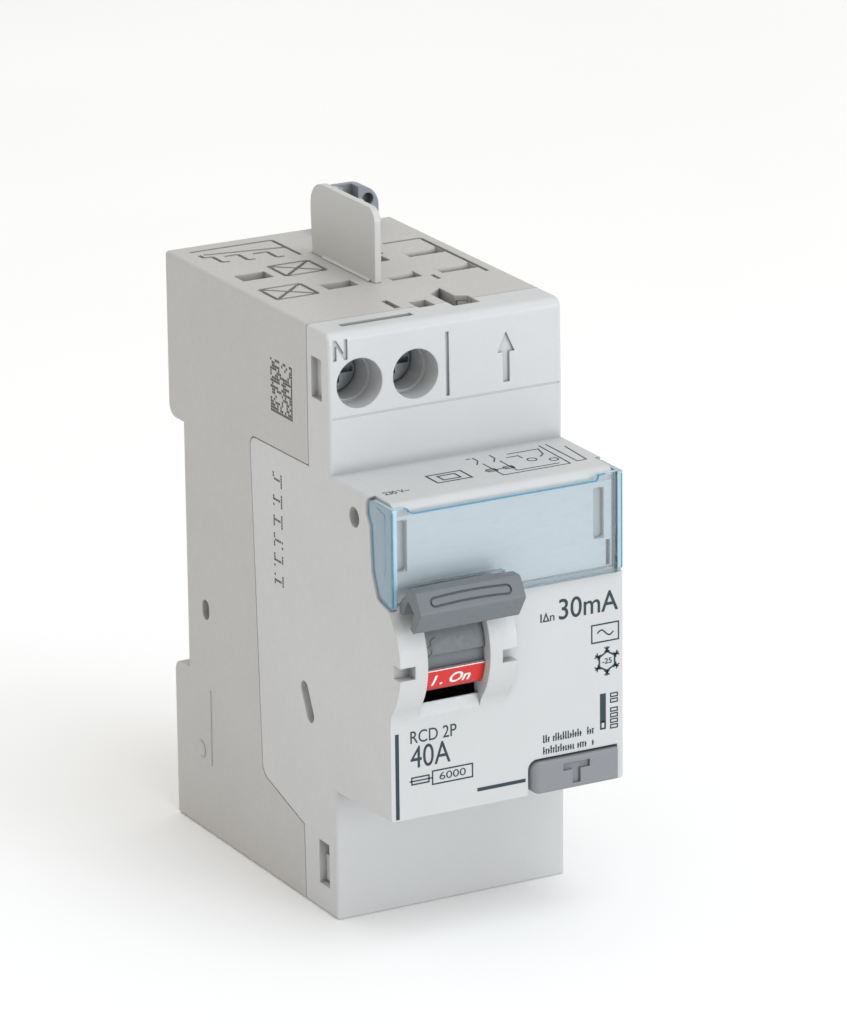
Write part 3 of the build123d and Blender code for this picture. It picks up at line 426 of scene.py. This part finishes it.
def printed_card(name, colour):
    """Label card with fine fibres."""
    n = Nodes(name)
    fibres = n.noise(3.0, 6.0, (0.25, 1, 1))
    body = n.blend(n.remap(fibres, 0.3, 0.7), shade(colour, 0.97), shade(colour, 1.03))
    n.principled(Base_Color=body, Roughness=n.remap(fibres, 0.3, 0.7, 0.55, 0.8),
                 Normal=n.bump(fibres, 0.3, 0.02))
    return n.material


def narrow_faces(n, beside):
    """Factor that rises on the narrow faces of the clear flap.

    The broad faces of its side walls, where beside is 1, look along X, those of its front
    panel along Y.
    """
    facing = n.add("ShaderNodeSeparateXYZ", [
        ("Vector", n.add("ShaderNodeTexCoord").outputs["Normal"])])
    flat_wall = n.math("MULTIPLY", beside, n.math("ABSOLUTE", facing.outputs["X"]))
    flat_panel = n.math("MULTIPLY", n.math("SUBTRACT", 1.0, beside),
                        n.math("ABSOLUTE", facing.outputs["Y"]))
    return n.remap(n.math("ADD", flat_wall, flat_panel), 0.45, 0.75, 1.0, 0.0)


def clear_plastic(name, face, rim, corner, side_from_mm):
    """Clear plastic with a light tint, see-through faces and a painted glow of deeper tint on its rims.

    Parts further out than side_from_mm are side walls; the rest is a panel across the front.
    """
    n = Nodes(name)
    soft, edge = n.edges(0.22)
    spot = n.add("ShaderNodeSeparateXYZ", [("Vector", n.place)])
    beside = n.math("GREATER_THAN", n.math("ABSOLUTE", spot.outputs["X"]), side_from_mm * MM)
    # Painted glow: the narrow faces and edges take a deeper tint, standing in for light carried inside the
    # plastic.
    rim_glow_mask = n.math("MAXIMUM", narrow_faces(n, beside), n.math("MULTIPLY", edge, 0.8))
    haze = n.remap(n.noise(0.12, 4.0, (1, 1, 3)), 0.3, 0.7)
    scuffs = n.remap(n.noise(1.2, 6.0, (0.3, 1, 1)), 0.55, 0.75)
    painted_rim_glow = n.blend(n.math("MULTIPLY", edge, n.spread(haze, 0.6, 1.0)), rim, corner)
    deep = n.remap(spot.outputs["Z"], 13 * MM, 8 * MM, 0.0, 0.45)
    wall_tint = n.blend(deep, n.blend(n.spread(haze, 0.7, 1.0), face, rim), corner)
    seen = n.blend(rim_glow_mask, n.blend(n.math("MULTIPLY", beside, 0.5), face, wall_tint), painted_rim_glow)
    through = n.add("ShaderNodeBsdfTransparent", [("Color", seen)])
    milk = n.blend(rim_glow_mask, n.blend(beside, PANEL_MILK, WALL_MILK), painted_rim_glow)
    milky = n.add("ShaderNodeBsdfPrincipled", [
        ("Base Color", milk), ("Roughness", n.spread(scuffs, 0.08, 0.3)),
        ("Normal", n.bump(haze, 0.12, 0.05, soft)), ("IOR", 1.49)])
    share = n.math("MAXIMUM", n.spread(rim_glow_mask, 0.06, 0.60),
                   n.math("MULTIPLY", beside, 0.42))
    share = n.math("ADD", share, n.spread(scuffs, 0.0, 0.04))
    gloss = n.add("ShaderNodeBsdfGlossy", [("Roughness", 0.08), ("Normal", soft)])
    fresnel = n.add("ShaderNodeFresnel", [("IOR", 1.35), ("Normal", soft)])
    body = n.between(share, through.outputs[0], milky.outputs[0])
    coated = n.between(fresnel.outputs[0], body, gloss.outputs[0])
    n.tree.links.new(coated, n.output.inputs["Surface"])
    return n.material


# ---- Finishes, one per material slot of the record -------------------------------------------
LIGHT_GREY = (0.462, 0.450, 0.436)
CLEAR_FACE = (0.980, 0.992, 0.996, 1)
# Colours of the clear flap; the rim and corner ones give the painted glow on its rims.
CLEAR_RIM = (0.58, 0.80, 0.91, 1)
CLEAR_CORNER = (0.09, 0.34, 0.53, 1)
PANEL_MILK = (0.80, 0.88, 0.92, 1)
WALL_MILK = (0.60, 0.77, 0.88, 1)
# After its name and colour a moulded plastic takes roughness, grain and lighter edges (wear and
# painted highlight); a drawn metal takes roughness, the direction of its lines and tarnish.
FINISHES = {
    "housing_plastic": moulded_plastic("housing plastic", LIGHT_GREY, glow=0.06, hollow_shade=0.64),
    "cover_plastic": moulded_plastic("cover plastic", (0.530, 0.535, 0.538), glow=0.06, hollow_shade=0.62),
    "toggle_plastic": moulded_plastic("toggle plastic", (0.138, 0.153, 0.165), 0.46, 0.9, 1.5),
    "on_label_red": moulded_plastic("red label", (0.60, 0.014, 0.012), 0.34, 0.2, 1.1),
    "off_label_green": moulded_plastic("green label", (0.035, 0.28, 0.08), 0.3, 0.2, 1.1),
    "steel": drawn_metal("bright steel", (0.60, 0.60, 0.61)),
    "spring_steel": drawn_metal("spring wire", (0.42, 0.42, 0.43), 0.28),
    "plated_steel": drawn_metal("zinc plated steel", (0.36, 0.40, 0.42), 0.38, (1, 0.3, 1)),
    "copper": drawn_metal("rolled copper", (0.80, 0.36, 0.20), 0.30, (1, 1, 0.06), 0.55),
    "contact_silver": drawn_metal("silver alloy", (0.82, 0.80, 0.76), 0.25, (1, 1, 1), 0.7),
    "contact_brass": drawn_metal("rolled brass", (0.78, 0.55, 0.22), 0.30, (1, 1, 0.06), 0.7),
    "inner_plastic": moulded_plastic("dark thermoset", (0.030, 0.031, 0.034), 0.5, 1.0, 1.8),
    "blue_insulation": moulded_plastic("blue insulation", (0.03, 0.10, 0.45), 0.35, 0.3, 1.3),
    "brown_insulation": moulded_plastic("brown insulation", (0.12, 0.045, 0.02), 0.35, 0.3, 1.4),
    "core_metal": drawn_metal("core metal", (0.24, 0.24, 0.25), 0.45, (1, 1, 0.1)),
    "winding_copper": wound_wire("enamelled winding", (0.62, 0.22, 0.07)),
    "board_green": circuit_board("circuit board", (0.02, 0.13, 0.05)),
    "capacitor_sleeve": moulded_plastic("capacitor sleeve", (0.02, 0.025, 0.05), 0.25, 0.2, 1.6),
    "button_plastic": moulded_plastic("button plastic", (0.212, 0.222, 0.234), 0.46, 0.9, 1.3),
    "resistor_body": moulded_plastic("resistor lacquer", (0.55, 0.42, 0.25), 0.35, 0.6, 1.1),
    "clear_blue": clear_plastic("clear blue plastic", CLEAR_FACE, CLEAR_RIM, CLEAR_CORNER,
                                side_from_mm=FLAP_SIDE - FLAP_THICKNESS),
    "label_paper": printed_card("label card", (0.665, 0.71, 0.745)),
    "barrier_plastic": moulded_plastic("barrier plastic", (0.53, 0.53, 0.515), glow=0.08),
    "latch_plastic": moulded_plastic("latch plastic", (0.22, 0.24, 0.27), 0.38, 0.5, 1.3),
}
DARK_INK = printing_ink("dark printing", (0.009, 0.029, 0.042))
WHITE_INK = printing_ink("white printing", (0.80, 0.80, 0.80))
MARKING_INK = printing_ink("laser marking", (0.045, 0.043, 0.038))
# Painted shade: dark blue for lines where the clear flap's edges look dark, made with the ink shader.
PAINTED_EDGE_BLUE = printing_ink("painted blue edge shade", (0.075, 0.26, 0.40))

ROUNDED_ABOVE = radians(40)   # edges sharper than this are rounded
SOFT_EDGES = {   # width of the rounding in mm
    "rear_base": 0.12, "front_cover": 0.12, "toggle": 0.14, "test_button": 0.14,
    "label_window": 0.12, "busbar_barrier": 0.18, "upper_rail_latch": 0.15,
    "lower_rail_latch": 0.15,
}


def finish_nodes():
    """Every CAD node takes the finish of its slot, and the moulded ones get rounded edges."""
    for part in frame["record"]["subparts"]:
        node = nodes[part["node"]]
        finish = FINISHES[part["material_slot"]]
        if not node.material_slots:
            node.data.materials.append(finish)
        for material_slot in node.material_slots:
            material_slot.material = finish
    for name, width in SOFT_EDGES.items():
        rounding = nodes[name].modifiers.new("soft edges", "BEVEL")
        rounding.width = width * MM
        rounding.segments = 2
        rounding.limit_method = "ANGLE"
        rounding.angle_limit = ROUNDED_ABOVE
        rounding.harden_normals = False


# ---- Printing on the front ---------------------------------------------------------------------
def sine_wave(left, right, middle, height, steps=16):
    """Points of one period of a wave."""
    return [(left + (right - left) * i / steps, middle + height * sin(tau * i / steps))
            for i in range(steps + 1)]


def snowflake(u, v, radius, width):
    """Hexagon with six arms that end in two pairs of barbs."""
    centre, inner = Vector((u, v)), radius * 0.66
    barb_length, barb_spread = radius * 0.16, 1.2
    outlines = []
    for arm in range(6):
        angle = tau * arm / 6 + pi / 2
        out = Vector((cos(angle), sin(angle)))
        side = Vector((-out.y, out.x))
        outlines += ribbon([centre + out * inner * 0.92, centre + out * radius], width)
        fork = centre + out * radius * 0.80
        for lean in (1, -1):
            for turn in (-1, 1):
                barb = (out * lean + turn * side * barb_spread) * barb_length
                outlines += ribbon([fork, fork + barb], width * 0.7)
    corners = [centre + inner * Vector((cos(tau * k / 6 + pi / 2), sin(tau * k / 6 + pi / 2)))
               for k in range(6)]
    return outlines + ribbon(corners, width, closed=True)


def greeked(left, right, low, height, draw):
    """A line of small upright strokes that reads as text from afar and says nothing."""
    pitch, stroke, bar_width, gaps = 0.38, 0.19, 0.15, 0.14
    outlines = []
    u = left
    while u < right - stroke:
        if draw.random() > gaps:
            top = low + height * draw.choice((0.66, 0.66, 1.0))
            outlines.append(rectangle(u, u + stroke, low, top))
            bar = low + height * draw.choice((0.0, 0.3, 0.55))
            outlines.append(rectangle(u, u + pitch * 0.72, bar, bar + bar_width))
        u += pitch
    return outlines


def front_text(name, words, area, weight=0.0):
    """Dark text in an area (left, right, low, high) of the front face."""
    lettering(name, words, area, on_front, DARK_INK, weight=weight)


def front_lettering():
    """Generic ratings on the front face of the nose."""
    front_text("rating_print", "30mA", (8.0, 17.15, 2.5, 5.42), 0.006)
    front_text("rating_prefix_print", "n", (6.6, 7.3, 2.6, 3.4), 0.006)
    front_text("series_print", "RCD 2P", (-14.8, -7.8, -11.0, -9.25), 0.002)
    front_text("amp_print", "40A", (-14.8, -8.75, -14.55, -11.4))
    front_text("capacity_print", "6000", (-10.45, -6.45, -16.85, -15.8))
    front_text("cold_print", "-25", (14.65, 16.15, -4.95, -4.15), 0.012)


def front_symbols():
    """Framed wave, residual current sign and snowflake on the right of the front face."""
    wave = framed(13.05, 17.2, -1.7, 0.8, 0.2)
    wave += ribbon(sine_wave(13.9, 16.4, -0.45, 0.42), 0.2)
    printed("wave_symbol_print", on_front, wave, DARK_INK)
    sign = [rectangle(5.13, 5.36, 2.6, 3.8)]
    sign += ribbon([(5.6, 2.7), (6.0, 3.7), (6.4, 2.7)], 0.19, closed=True)
    printed("rating_symbol_print", on_front, sign, DARK_INK)
    printed("snowflake_print", on_front, snowflake(15.4, -4.58, 2.08, 0.24), DARK_INK)


def front_scale():
    """Bar and column of small boxes near the lower right corner of the front face."""
    bar = [rectangle(14.3, 15.2, -13.2, -9.15)]
    bar += framed(14.42, 15.08, -14.15, -13.2, 0.24)
    printed("scale_bar_print", on_front, bar, DARK_INK)
    box_height = 0.48
    boxes = []
    for low in (-14.3, -13.5, -12.7, -11.9, -10.6, -9.8):
        boxes += framed(15.95, 17.0, low, low + box_height, 0.17)
    printed("index_boxes_print", on_front, boxes, DARK_INK)


def front_note():
    """Two lines of strokes in place of the small print."""
    draw = random.Random(3)
    lines = []
    for low in (-14.55, -16.2):
        lines += greeked(5.45, 13.3, low, 1.1, draw)
    printed("note_lines_print", on_front, lines, DARK_INK)


def front_fuse():
    """Fuse symbol and the frame around the breaking capacity."""
    fuse = framed(-14.65, -12.05, -16.8, -15.85, 0.2)
    fuse += ribbon([(-15.0, -16.34), (-11.5, -16.34)], 0.18)
    fuse += framed(-11.5, -5.42, -17.3, -15.42, 0.2)
    printed("fuse_symbol_print", on_front, fuse, DARK_INK)


def front_rules():
    """Plain rules along the lower and left edges of the front face."""
    printed("front_rule_print", on_front, [rectangle(-4.7, 2.7, -19.6, -19.1)], DARK_INK)
    printed("side_rule_print", on_front, [rectangle(-17.1, -16.55, -21.4, -9.3)], DARK_INK)


# ---- Printing on the upper face of the nose ---------------------------------------------------
def nose_top_marks():
    """Voltage and double square."""
    lettering("voltage_print", "230 V~", (-15.4, -11.6, -55.2, -54.0), on_nose_top, DARK_INK,
              weight=0.008)
    squares = framed(-6.9, -1.7, -54.0, -50.6, 0.26) + framed(-5.6, -3.0, -53.2, -51.4, 0.26)
    printed("double_square_print", on_nose_top, squares, DARK_INK)


def pole(left, width):
    """Open contact of one pole with its lead and its frame in the wiring diagram."""
    lead = ribbon([(left, -46.7), (left, -48.2), (left - 0.9, -49.6)], width)
    lead += ribbon([(left, -49.6), (left, -53.4)], width)
    return lead + framed(left - 1.0, left + 0.3, -53.2, -52.2, width)


def wiring_diagram():
    """Two poles, the sensor, the test circuit and the coil as a line drawing."""
    width = 0.19
    left, right = 2.35, 4.95
    wires = (
        ((left, -53.4), (left, -55.3), (12.6, -55.3), (12.8, -46.3)),
        ((right, -53.4), (right, -54.4), (11.4, -54.4)),
        ((1.0, -52.7), (5.4, -52.7)),
        ((1.3, -46.8), (2.0, -46.8)),
        ((7.2, -47.5), (12.0, -47.5), (11.5, -49.8), (10.6, -50.6)),
        ((6.4, -48.8), (8.2, -48.8), (8.2, -50.0)),
        ((13.9, -46.3), (13.9, -54.9), (15.35, -54.8), (15.75, -48.2)),
    )
    lines = pole(left, width) + pole(right, width)
    for wire in wires:
        lines += ribbon(wire, width)
    for u, v, radius in ((9.0, -51.2, 0.65), (11.6, -52.6, 0.6)):
        lines += ribbon(circle(u, v, radius, 16), width, closed=True)
    printed("wiring_diagram_print", on_nose_top, lines, DARK_INK)


# ---- Printing on the toggle --------------------------------------------------------------------
DRUM_MARK_ANGLE = 166   # middle of the drum's moulded mark, degrees from +Y towards +Z


def toggle_printing():
    """I . On on the red label, O . Off on the green one, a painted highlight and a drum mark."""
    middle = (LABEL_LEFT + LABEL_RIGHT) / 2
    area = (middle - 3.3, middle + 2.6, -0.85, 0.75)
    for name, words, angle, slot in (("on_print", "I . On", ON_ANGLE, "on_label_red"),
                                     ("off_print", "O . Off", OFF_ANGLE, "off_label_green")):
        lettering(name, words, area, on_drum(angle), WHITE_INK, "toggle",
                  weight=0.018, slant=0.28)
    # Painted highlight: a light line along the upper edge of the red label.
    line = [rectangle(LABEL_LEFT, LABEL_RIGHT, 1.42, 1.55)]
    printed("on_label_edge_highlight", on_drum(ON_ANGLE), line, WHITE_INK, "toggle", "on_label_red")
    arrow = ribbon([(-11.6, 1.1), (-12.3, 0.7), (-12.3, 0.1), (-12.8, -0.1), (-12.3, -0.3),
                    (-12.3, -1.1), (-12.9, -1.3)], 0.2)
    printed("drum_mark", on_drum(DRUM_MARK_ANGLE), arrow, FINISHES["toggle_plastic"], "toggle",
            "toggle_plastic", under=RELIEF_UNDER, over=0.12)


# ---- Marks on the left side and the back ------------------------------------------------------
def dot_matrix(draw):
    """Patch of dots with two full borders that encodes nothing."""
    left, low = -33.3, 27.2
    across, down = 0.46, 0.4232
    rows, columns = 18, 14
    dot_width, dot_height, share = 0.38, 0.36, 0.5
    dots = []
    for row in range(rows):
        for column in range(columns):
            border = column == 0 or row == 0
            if border or draw.random() < share:
                u, v = left + column * across, low + row * down
                dots.append(rectangle(u, u + dot_width, v, v + dot_height))
    return dots


def dotted_strip(draw):
    """Blocks of dots in two columns with a row between them, which encode nothing."""
    blocks, first_block, block_pitch = 6, 2.2, 2.9
    dot_width, dot_height, dot_pitch = 0.35, 0.33, 0.4
    dots = []
    for block in range(blocks):
        v = first_block + block_pitch * block
        for step in range(5):
            low = v + dot_pitch * step
            for u, share in ((-29.7, 0.8), (-27.4, 0.55)):
                if draw.random() < share:
                    dots.append(rectangle(u, u + dot_width, low, low + dot_height))
        middle = v + 2 * dot_pitch
        for step in range(4):
            u = -29.1 + 0.45 * step
            dots.append(rectangle(u, u + dot_width, middle, middle + dot_height))
    return dots


def side_marking():
    """Dot matrix patch and dotted strip on the left side."""
    draw = random.Random(7)
    dots = dot_matrix(draw) + dotted_strip(draw)
    printed("side_marking", on_left_side, dots, MARKING_INK, slot="housing_plastic",
            over=0.012)


def side_relief():
    """Raised rule and open ring at the foot of the left side."""
    middle, radius = Vector((-3.2, -29.0)), 1.2
    turns = [radians(turn) for turn in range(60, 300, 20)]
    ring = ribbon([middle + radius * Vector((cos(turn), sin(turn))) for turn in turns], 0.25)
    printed("side_relief", on_left_side, [rectangle(-6.6, -6.25, -30.5, -19.4)] + ring,
            FINISHES["housing_plastic"], slot="housing_plastic", under=RELIEF_UNDER, over=0.12)


def back_relief():
    """Raised moulding rings and rules on the rear faces of the feet and the rail face.

    Each face has three rings, and a rule that joins the first two, which stand in one column.
    """
    column, ring_radius, ring_line, rule_width, gap = -12.8, 2.1, 0.3, 0.4, 3.0
    for name, depth, ring_1, ring_2, ring_3 in (
            ("upper_foot_relief", FOOT_BACK, (column, 24.5), (column, 37.0), (0.0, 37.0)),
            ("lower_foot_relief", FOOT_BACK, (column, -23.5), (column, -34.5), (0.0, -34.5)),
            ("rail_face_relief", RAIL_FACE, (column, 10.0), (column, -9.5), (12.8, 0.3))):
        relief = []
        for u, v in (ring_1, ring_2, ring_3):
            relief += ribbon(circle(u, v, ring_radius, 24), ring_line, closed=True)
        low, high = sorted((ring_1[1], ring_2[1]))
        relief.append(rectangle(column - rule_width / 2, column + rule_width / 2,
                                low + gap, high - gap))
        printed(name, on_back(depth), relief, FINISHES["housing_plastic"],
                slot="housing_plastic", under=RELIEF_UNDER, over=0.15)


# ---- Spring of the test button -----------------------------------------------------------------
def button_return_spring():
    """Coil behind the test button, a copy of the model's spring that is attached to the button's body."""
    source = nodes["button_spring"]
    coil = bpy.data.objects.new("button_return_spring", source.data.copy())
    coil.matrix_world = source.matrix_world
    bpy.context.scene.collection.objects.link(coil)
    for material_slot in coil.material_slots:
        material_slot.material = FINISHES["spring_steel"]
    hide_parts("button_spring")
    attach(coil, "test_button")
    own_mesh(coil)


# ---- Clear flap details ------------------------------------------------------------------------
def flap_lines(name, place, outlines, finish, **depth):
    """Moulded lines, and dark lines of painted shade along the edges, that swing with the clear flap."""
    printed(name, place, outlines, finish, "label_window", "clear_blue", **depth)


def flap_upper_edge():
    """Dark line of painted shade along the upper edge, which dips over the middle."""
    dip = NOSE_TOP - 1.2
    edge = ribbon([(-15.6, FLAP_TOP - 0.06), (-15.2, FLAP_TOP - 0.1), (-14.9, FLAP_TOP - 0.6),
                   (-14.3, dip), (13.5, dip), (13.8, dip + 0.35),
                   (13.9, FLAP_TOP - 0.1), (14.9, FLAP_TOP - 0.06)], 0.16)
    flap_lines("window_upper_edge", on_flap, edge, PAINTED_EDGE_BLUE, under=0.3, over=0.02)


def flap_walls():
    """Outline of painted shade and inner rib on the outer face of both side walls."""
    rim = ribbon([(-54.4, FLAP_TOP - 0.9), (-54.4, 20.0), (-55.3, 18.5), (-55.7, 12.4),
                  (-57.1, 9.4), (-60.2, 8.35), (-60.5, 8.9), (-60.5, FLAP_TOP - 0.3)], 0.16)
    rib = ribbon([(-58.9, FLAP_TOP - 1.2), (-59.0, 14.4), (-58.6, 12.6)], 0.14)
    rib += ribbon([(-56.6, FLAP_TOP - 0.7), (-58.9, FLAP_TOP - 1.2)], 0.12)
    for side, name in ((-1, "left"), (1, "right")):
        place = on_flap_side(side)
        flap_lines("window_" + name + "_edge", place, rim, PAINTED_EDGE_BLUE, under=0.1, over=0.02)
        flap_lines("window_" + name + "_rib", place, rib, FINISHES["clear_blue"],
                   under=0.1, over=0.06)


def flap_side_edges():
    """Dark lines of painted shade at the corners between the front panel and the side walls."""
    low, high = 8.6, FLAP_TOP - 0.4
    edges = [rectangle(-FLAP_SIDE + 0.02, -FLAP_SIDE + 0.2, low, high),
             rectangle(FLAP_SIDE - 0.22, FLAP_SIDE - 0.02, low, high)]
    flap_lines("window_side_edges", on_flap, edges, PAINTED_EDGE_BLUE, under=0.3, over=0.02)


def flap_lower_edge():
    """Two steps along the lower edge."""
    steps = ribbon([(0.2, 8.95), (15.3, 8.95)], 0.10)
    steps += ribbon([(-0.2, 8.25), (FLAP_SIDE - 1.0, 8.25)], 0.12)
    flap_lines("window_lower_edge", on_flap, steps, FINISHES["clear_blue"], under=0.1, over=0.05)


# ---- Studio ------------------------------------------------------------------------------------
FLOOR_GAP = 0.05      # floor below the device, mm
FLOOR_REACH = 6.0     # from the middle of the floor to its edges, m
FLOOR_DARK, FLOOR_LIGHT = (0.93, 0.93, 0.93, 1), (0.95, 0.95, 0.95, 1)
WORLD_COLOUR, WORLD_STRENGTH = (1.0, 0.985, 0.95, 1), 0.86
LAMP_DISTANCE = 1.3   # m
LAMPS = (             # name, direction from the origin, size in m, power in W, colour
    ("key", (0.14, -0.45, 0.88), 0.75, 5.1, (0.92, 1.0, 1.10)),
    ("low front fill", (0.42, -1.0, 0.12), 0.5, 5.2, (0.94, 1.0, 1.07)),
)
CAMERA_PLACE = (-392.844, -767.758, 280.453)   # mm
CAMERA_FORWARD = (0.45061, 0.83819, -0.30723)
CAMERA_UP = (0.15578, 0.26504, 0.95157)
LENS, SENSOR = 225.5, 36.0                     # focal length and sensor width, mm


def studio_floor():
    """Large pale sheet that the device stands on."""
    n = Nodes("pale floor")
    patches = n.remap(n.noise(0.01, 2.0), 0.3, 0.7)
    body = n.blend(patches, FLOOR_DARK, FLOOR_LIGHT)
    n.principled(Base_Color=body, Roughness=0.85)
    mesh = bmesh.new()
    level = (BOTTOM - FLOOR_GAP) * MM
    corners = [mesh.verts.new((x * FLOOR_REACH, y * FLOOR_REACH, level))
               for x, y in ((-1, -1), (1, -1), (1, 1), (-1, 1))]
    mesh.faces.new(corners)
    data = bpy.data.meshes.new("floor")
    mesh.to_mesh(data)
    mesh.free()
    data.materials.append(n.material)
    floor = bpy.data.objects.new("floor", data)
    bpy.context.scene.collection.objects.link(floor)


def softbox(name, direction, size, power, colour):
    """Square area light that faces the device."""
    light = bpy.data.lights.new(name, "AREA")
    light.shape = "SQUARE"
    light.size = size
    light.energy = power
    light.color = colour
    lamp = bpy.data.objects.new(name, light)
    bpy.context.scene.collection.objects.link(lamp)
    aim = Vector(direction).normalized()
    lamp.location = aim * LAMP_DISTANCE
    lamp.rotation_mode = "QUATERNION"
    lamp.rotation_quaternion = aim.to_track_quat("Z", "Y")


def studio_light():
    """Pale surroundings and the lamps."""
    world = bpy.data.worlds.new("studio")
    world.use_nodes = True
    background = world.node_tree.nodes["Background"]
    background.inputs["Color"].default_value = WORLD_COLOUR
    background.inputs["Strength"].default_value = WORLD_STRENGTH
    bpy.context.scene.world = world
    for lamp in LAMPS:
        softbox(*lamp)
    bpy.context.scene.view_settings.view_transform = "Standard"


def camera():
    """Camera at the viewing angle of the product picture."""
    data = bpy.data.cameras.new("camera")
    data.lens = LENS
    data.sensor_width = SENSOR
    data.clip_start, data.clip_end = 0.05, 20.0
    eye = bpy.data.objects.new("camera", data)
    bpy.context.scene.collection.objects.link(eye)
    forward = Vector(CAMERA_FORWARD).normalized()
    right = forward.cross(Vector(CAMERA_UP)).normalized()
    up = right.cross(forward)
    turn = Matrix((right, up, -forward)).transposed().to_4x4()
    eye.matrix_world = Matrix.Translation(Vector(CAMERA_PLACE) * MM) @ turn
    bpy.context.scene.camera = eye


finish_nodes()
front_lettering()
front_symbols()
front_scale()
front_note()
front_fuse()
front_rules()
nose_top_marks()
wiring_diagram()
toggle_printing()
side_marking()
side_relief()
back_relief()
button_return_spring()
flap_upper_edge()
flap_walls()
flap_side_edges()
flap_lower_edge()
studio_floor()
studio_light()
camera()
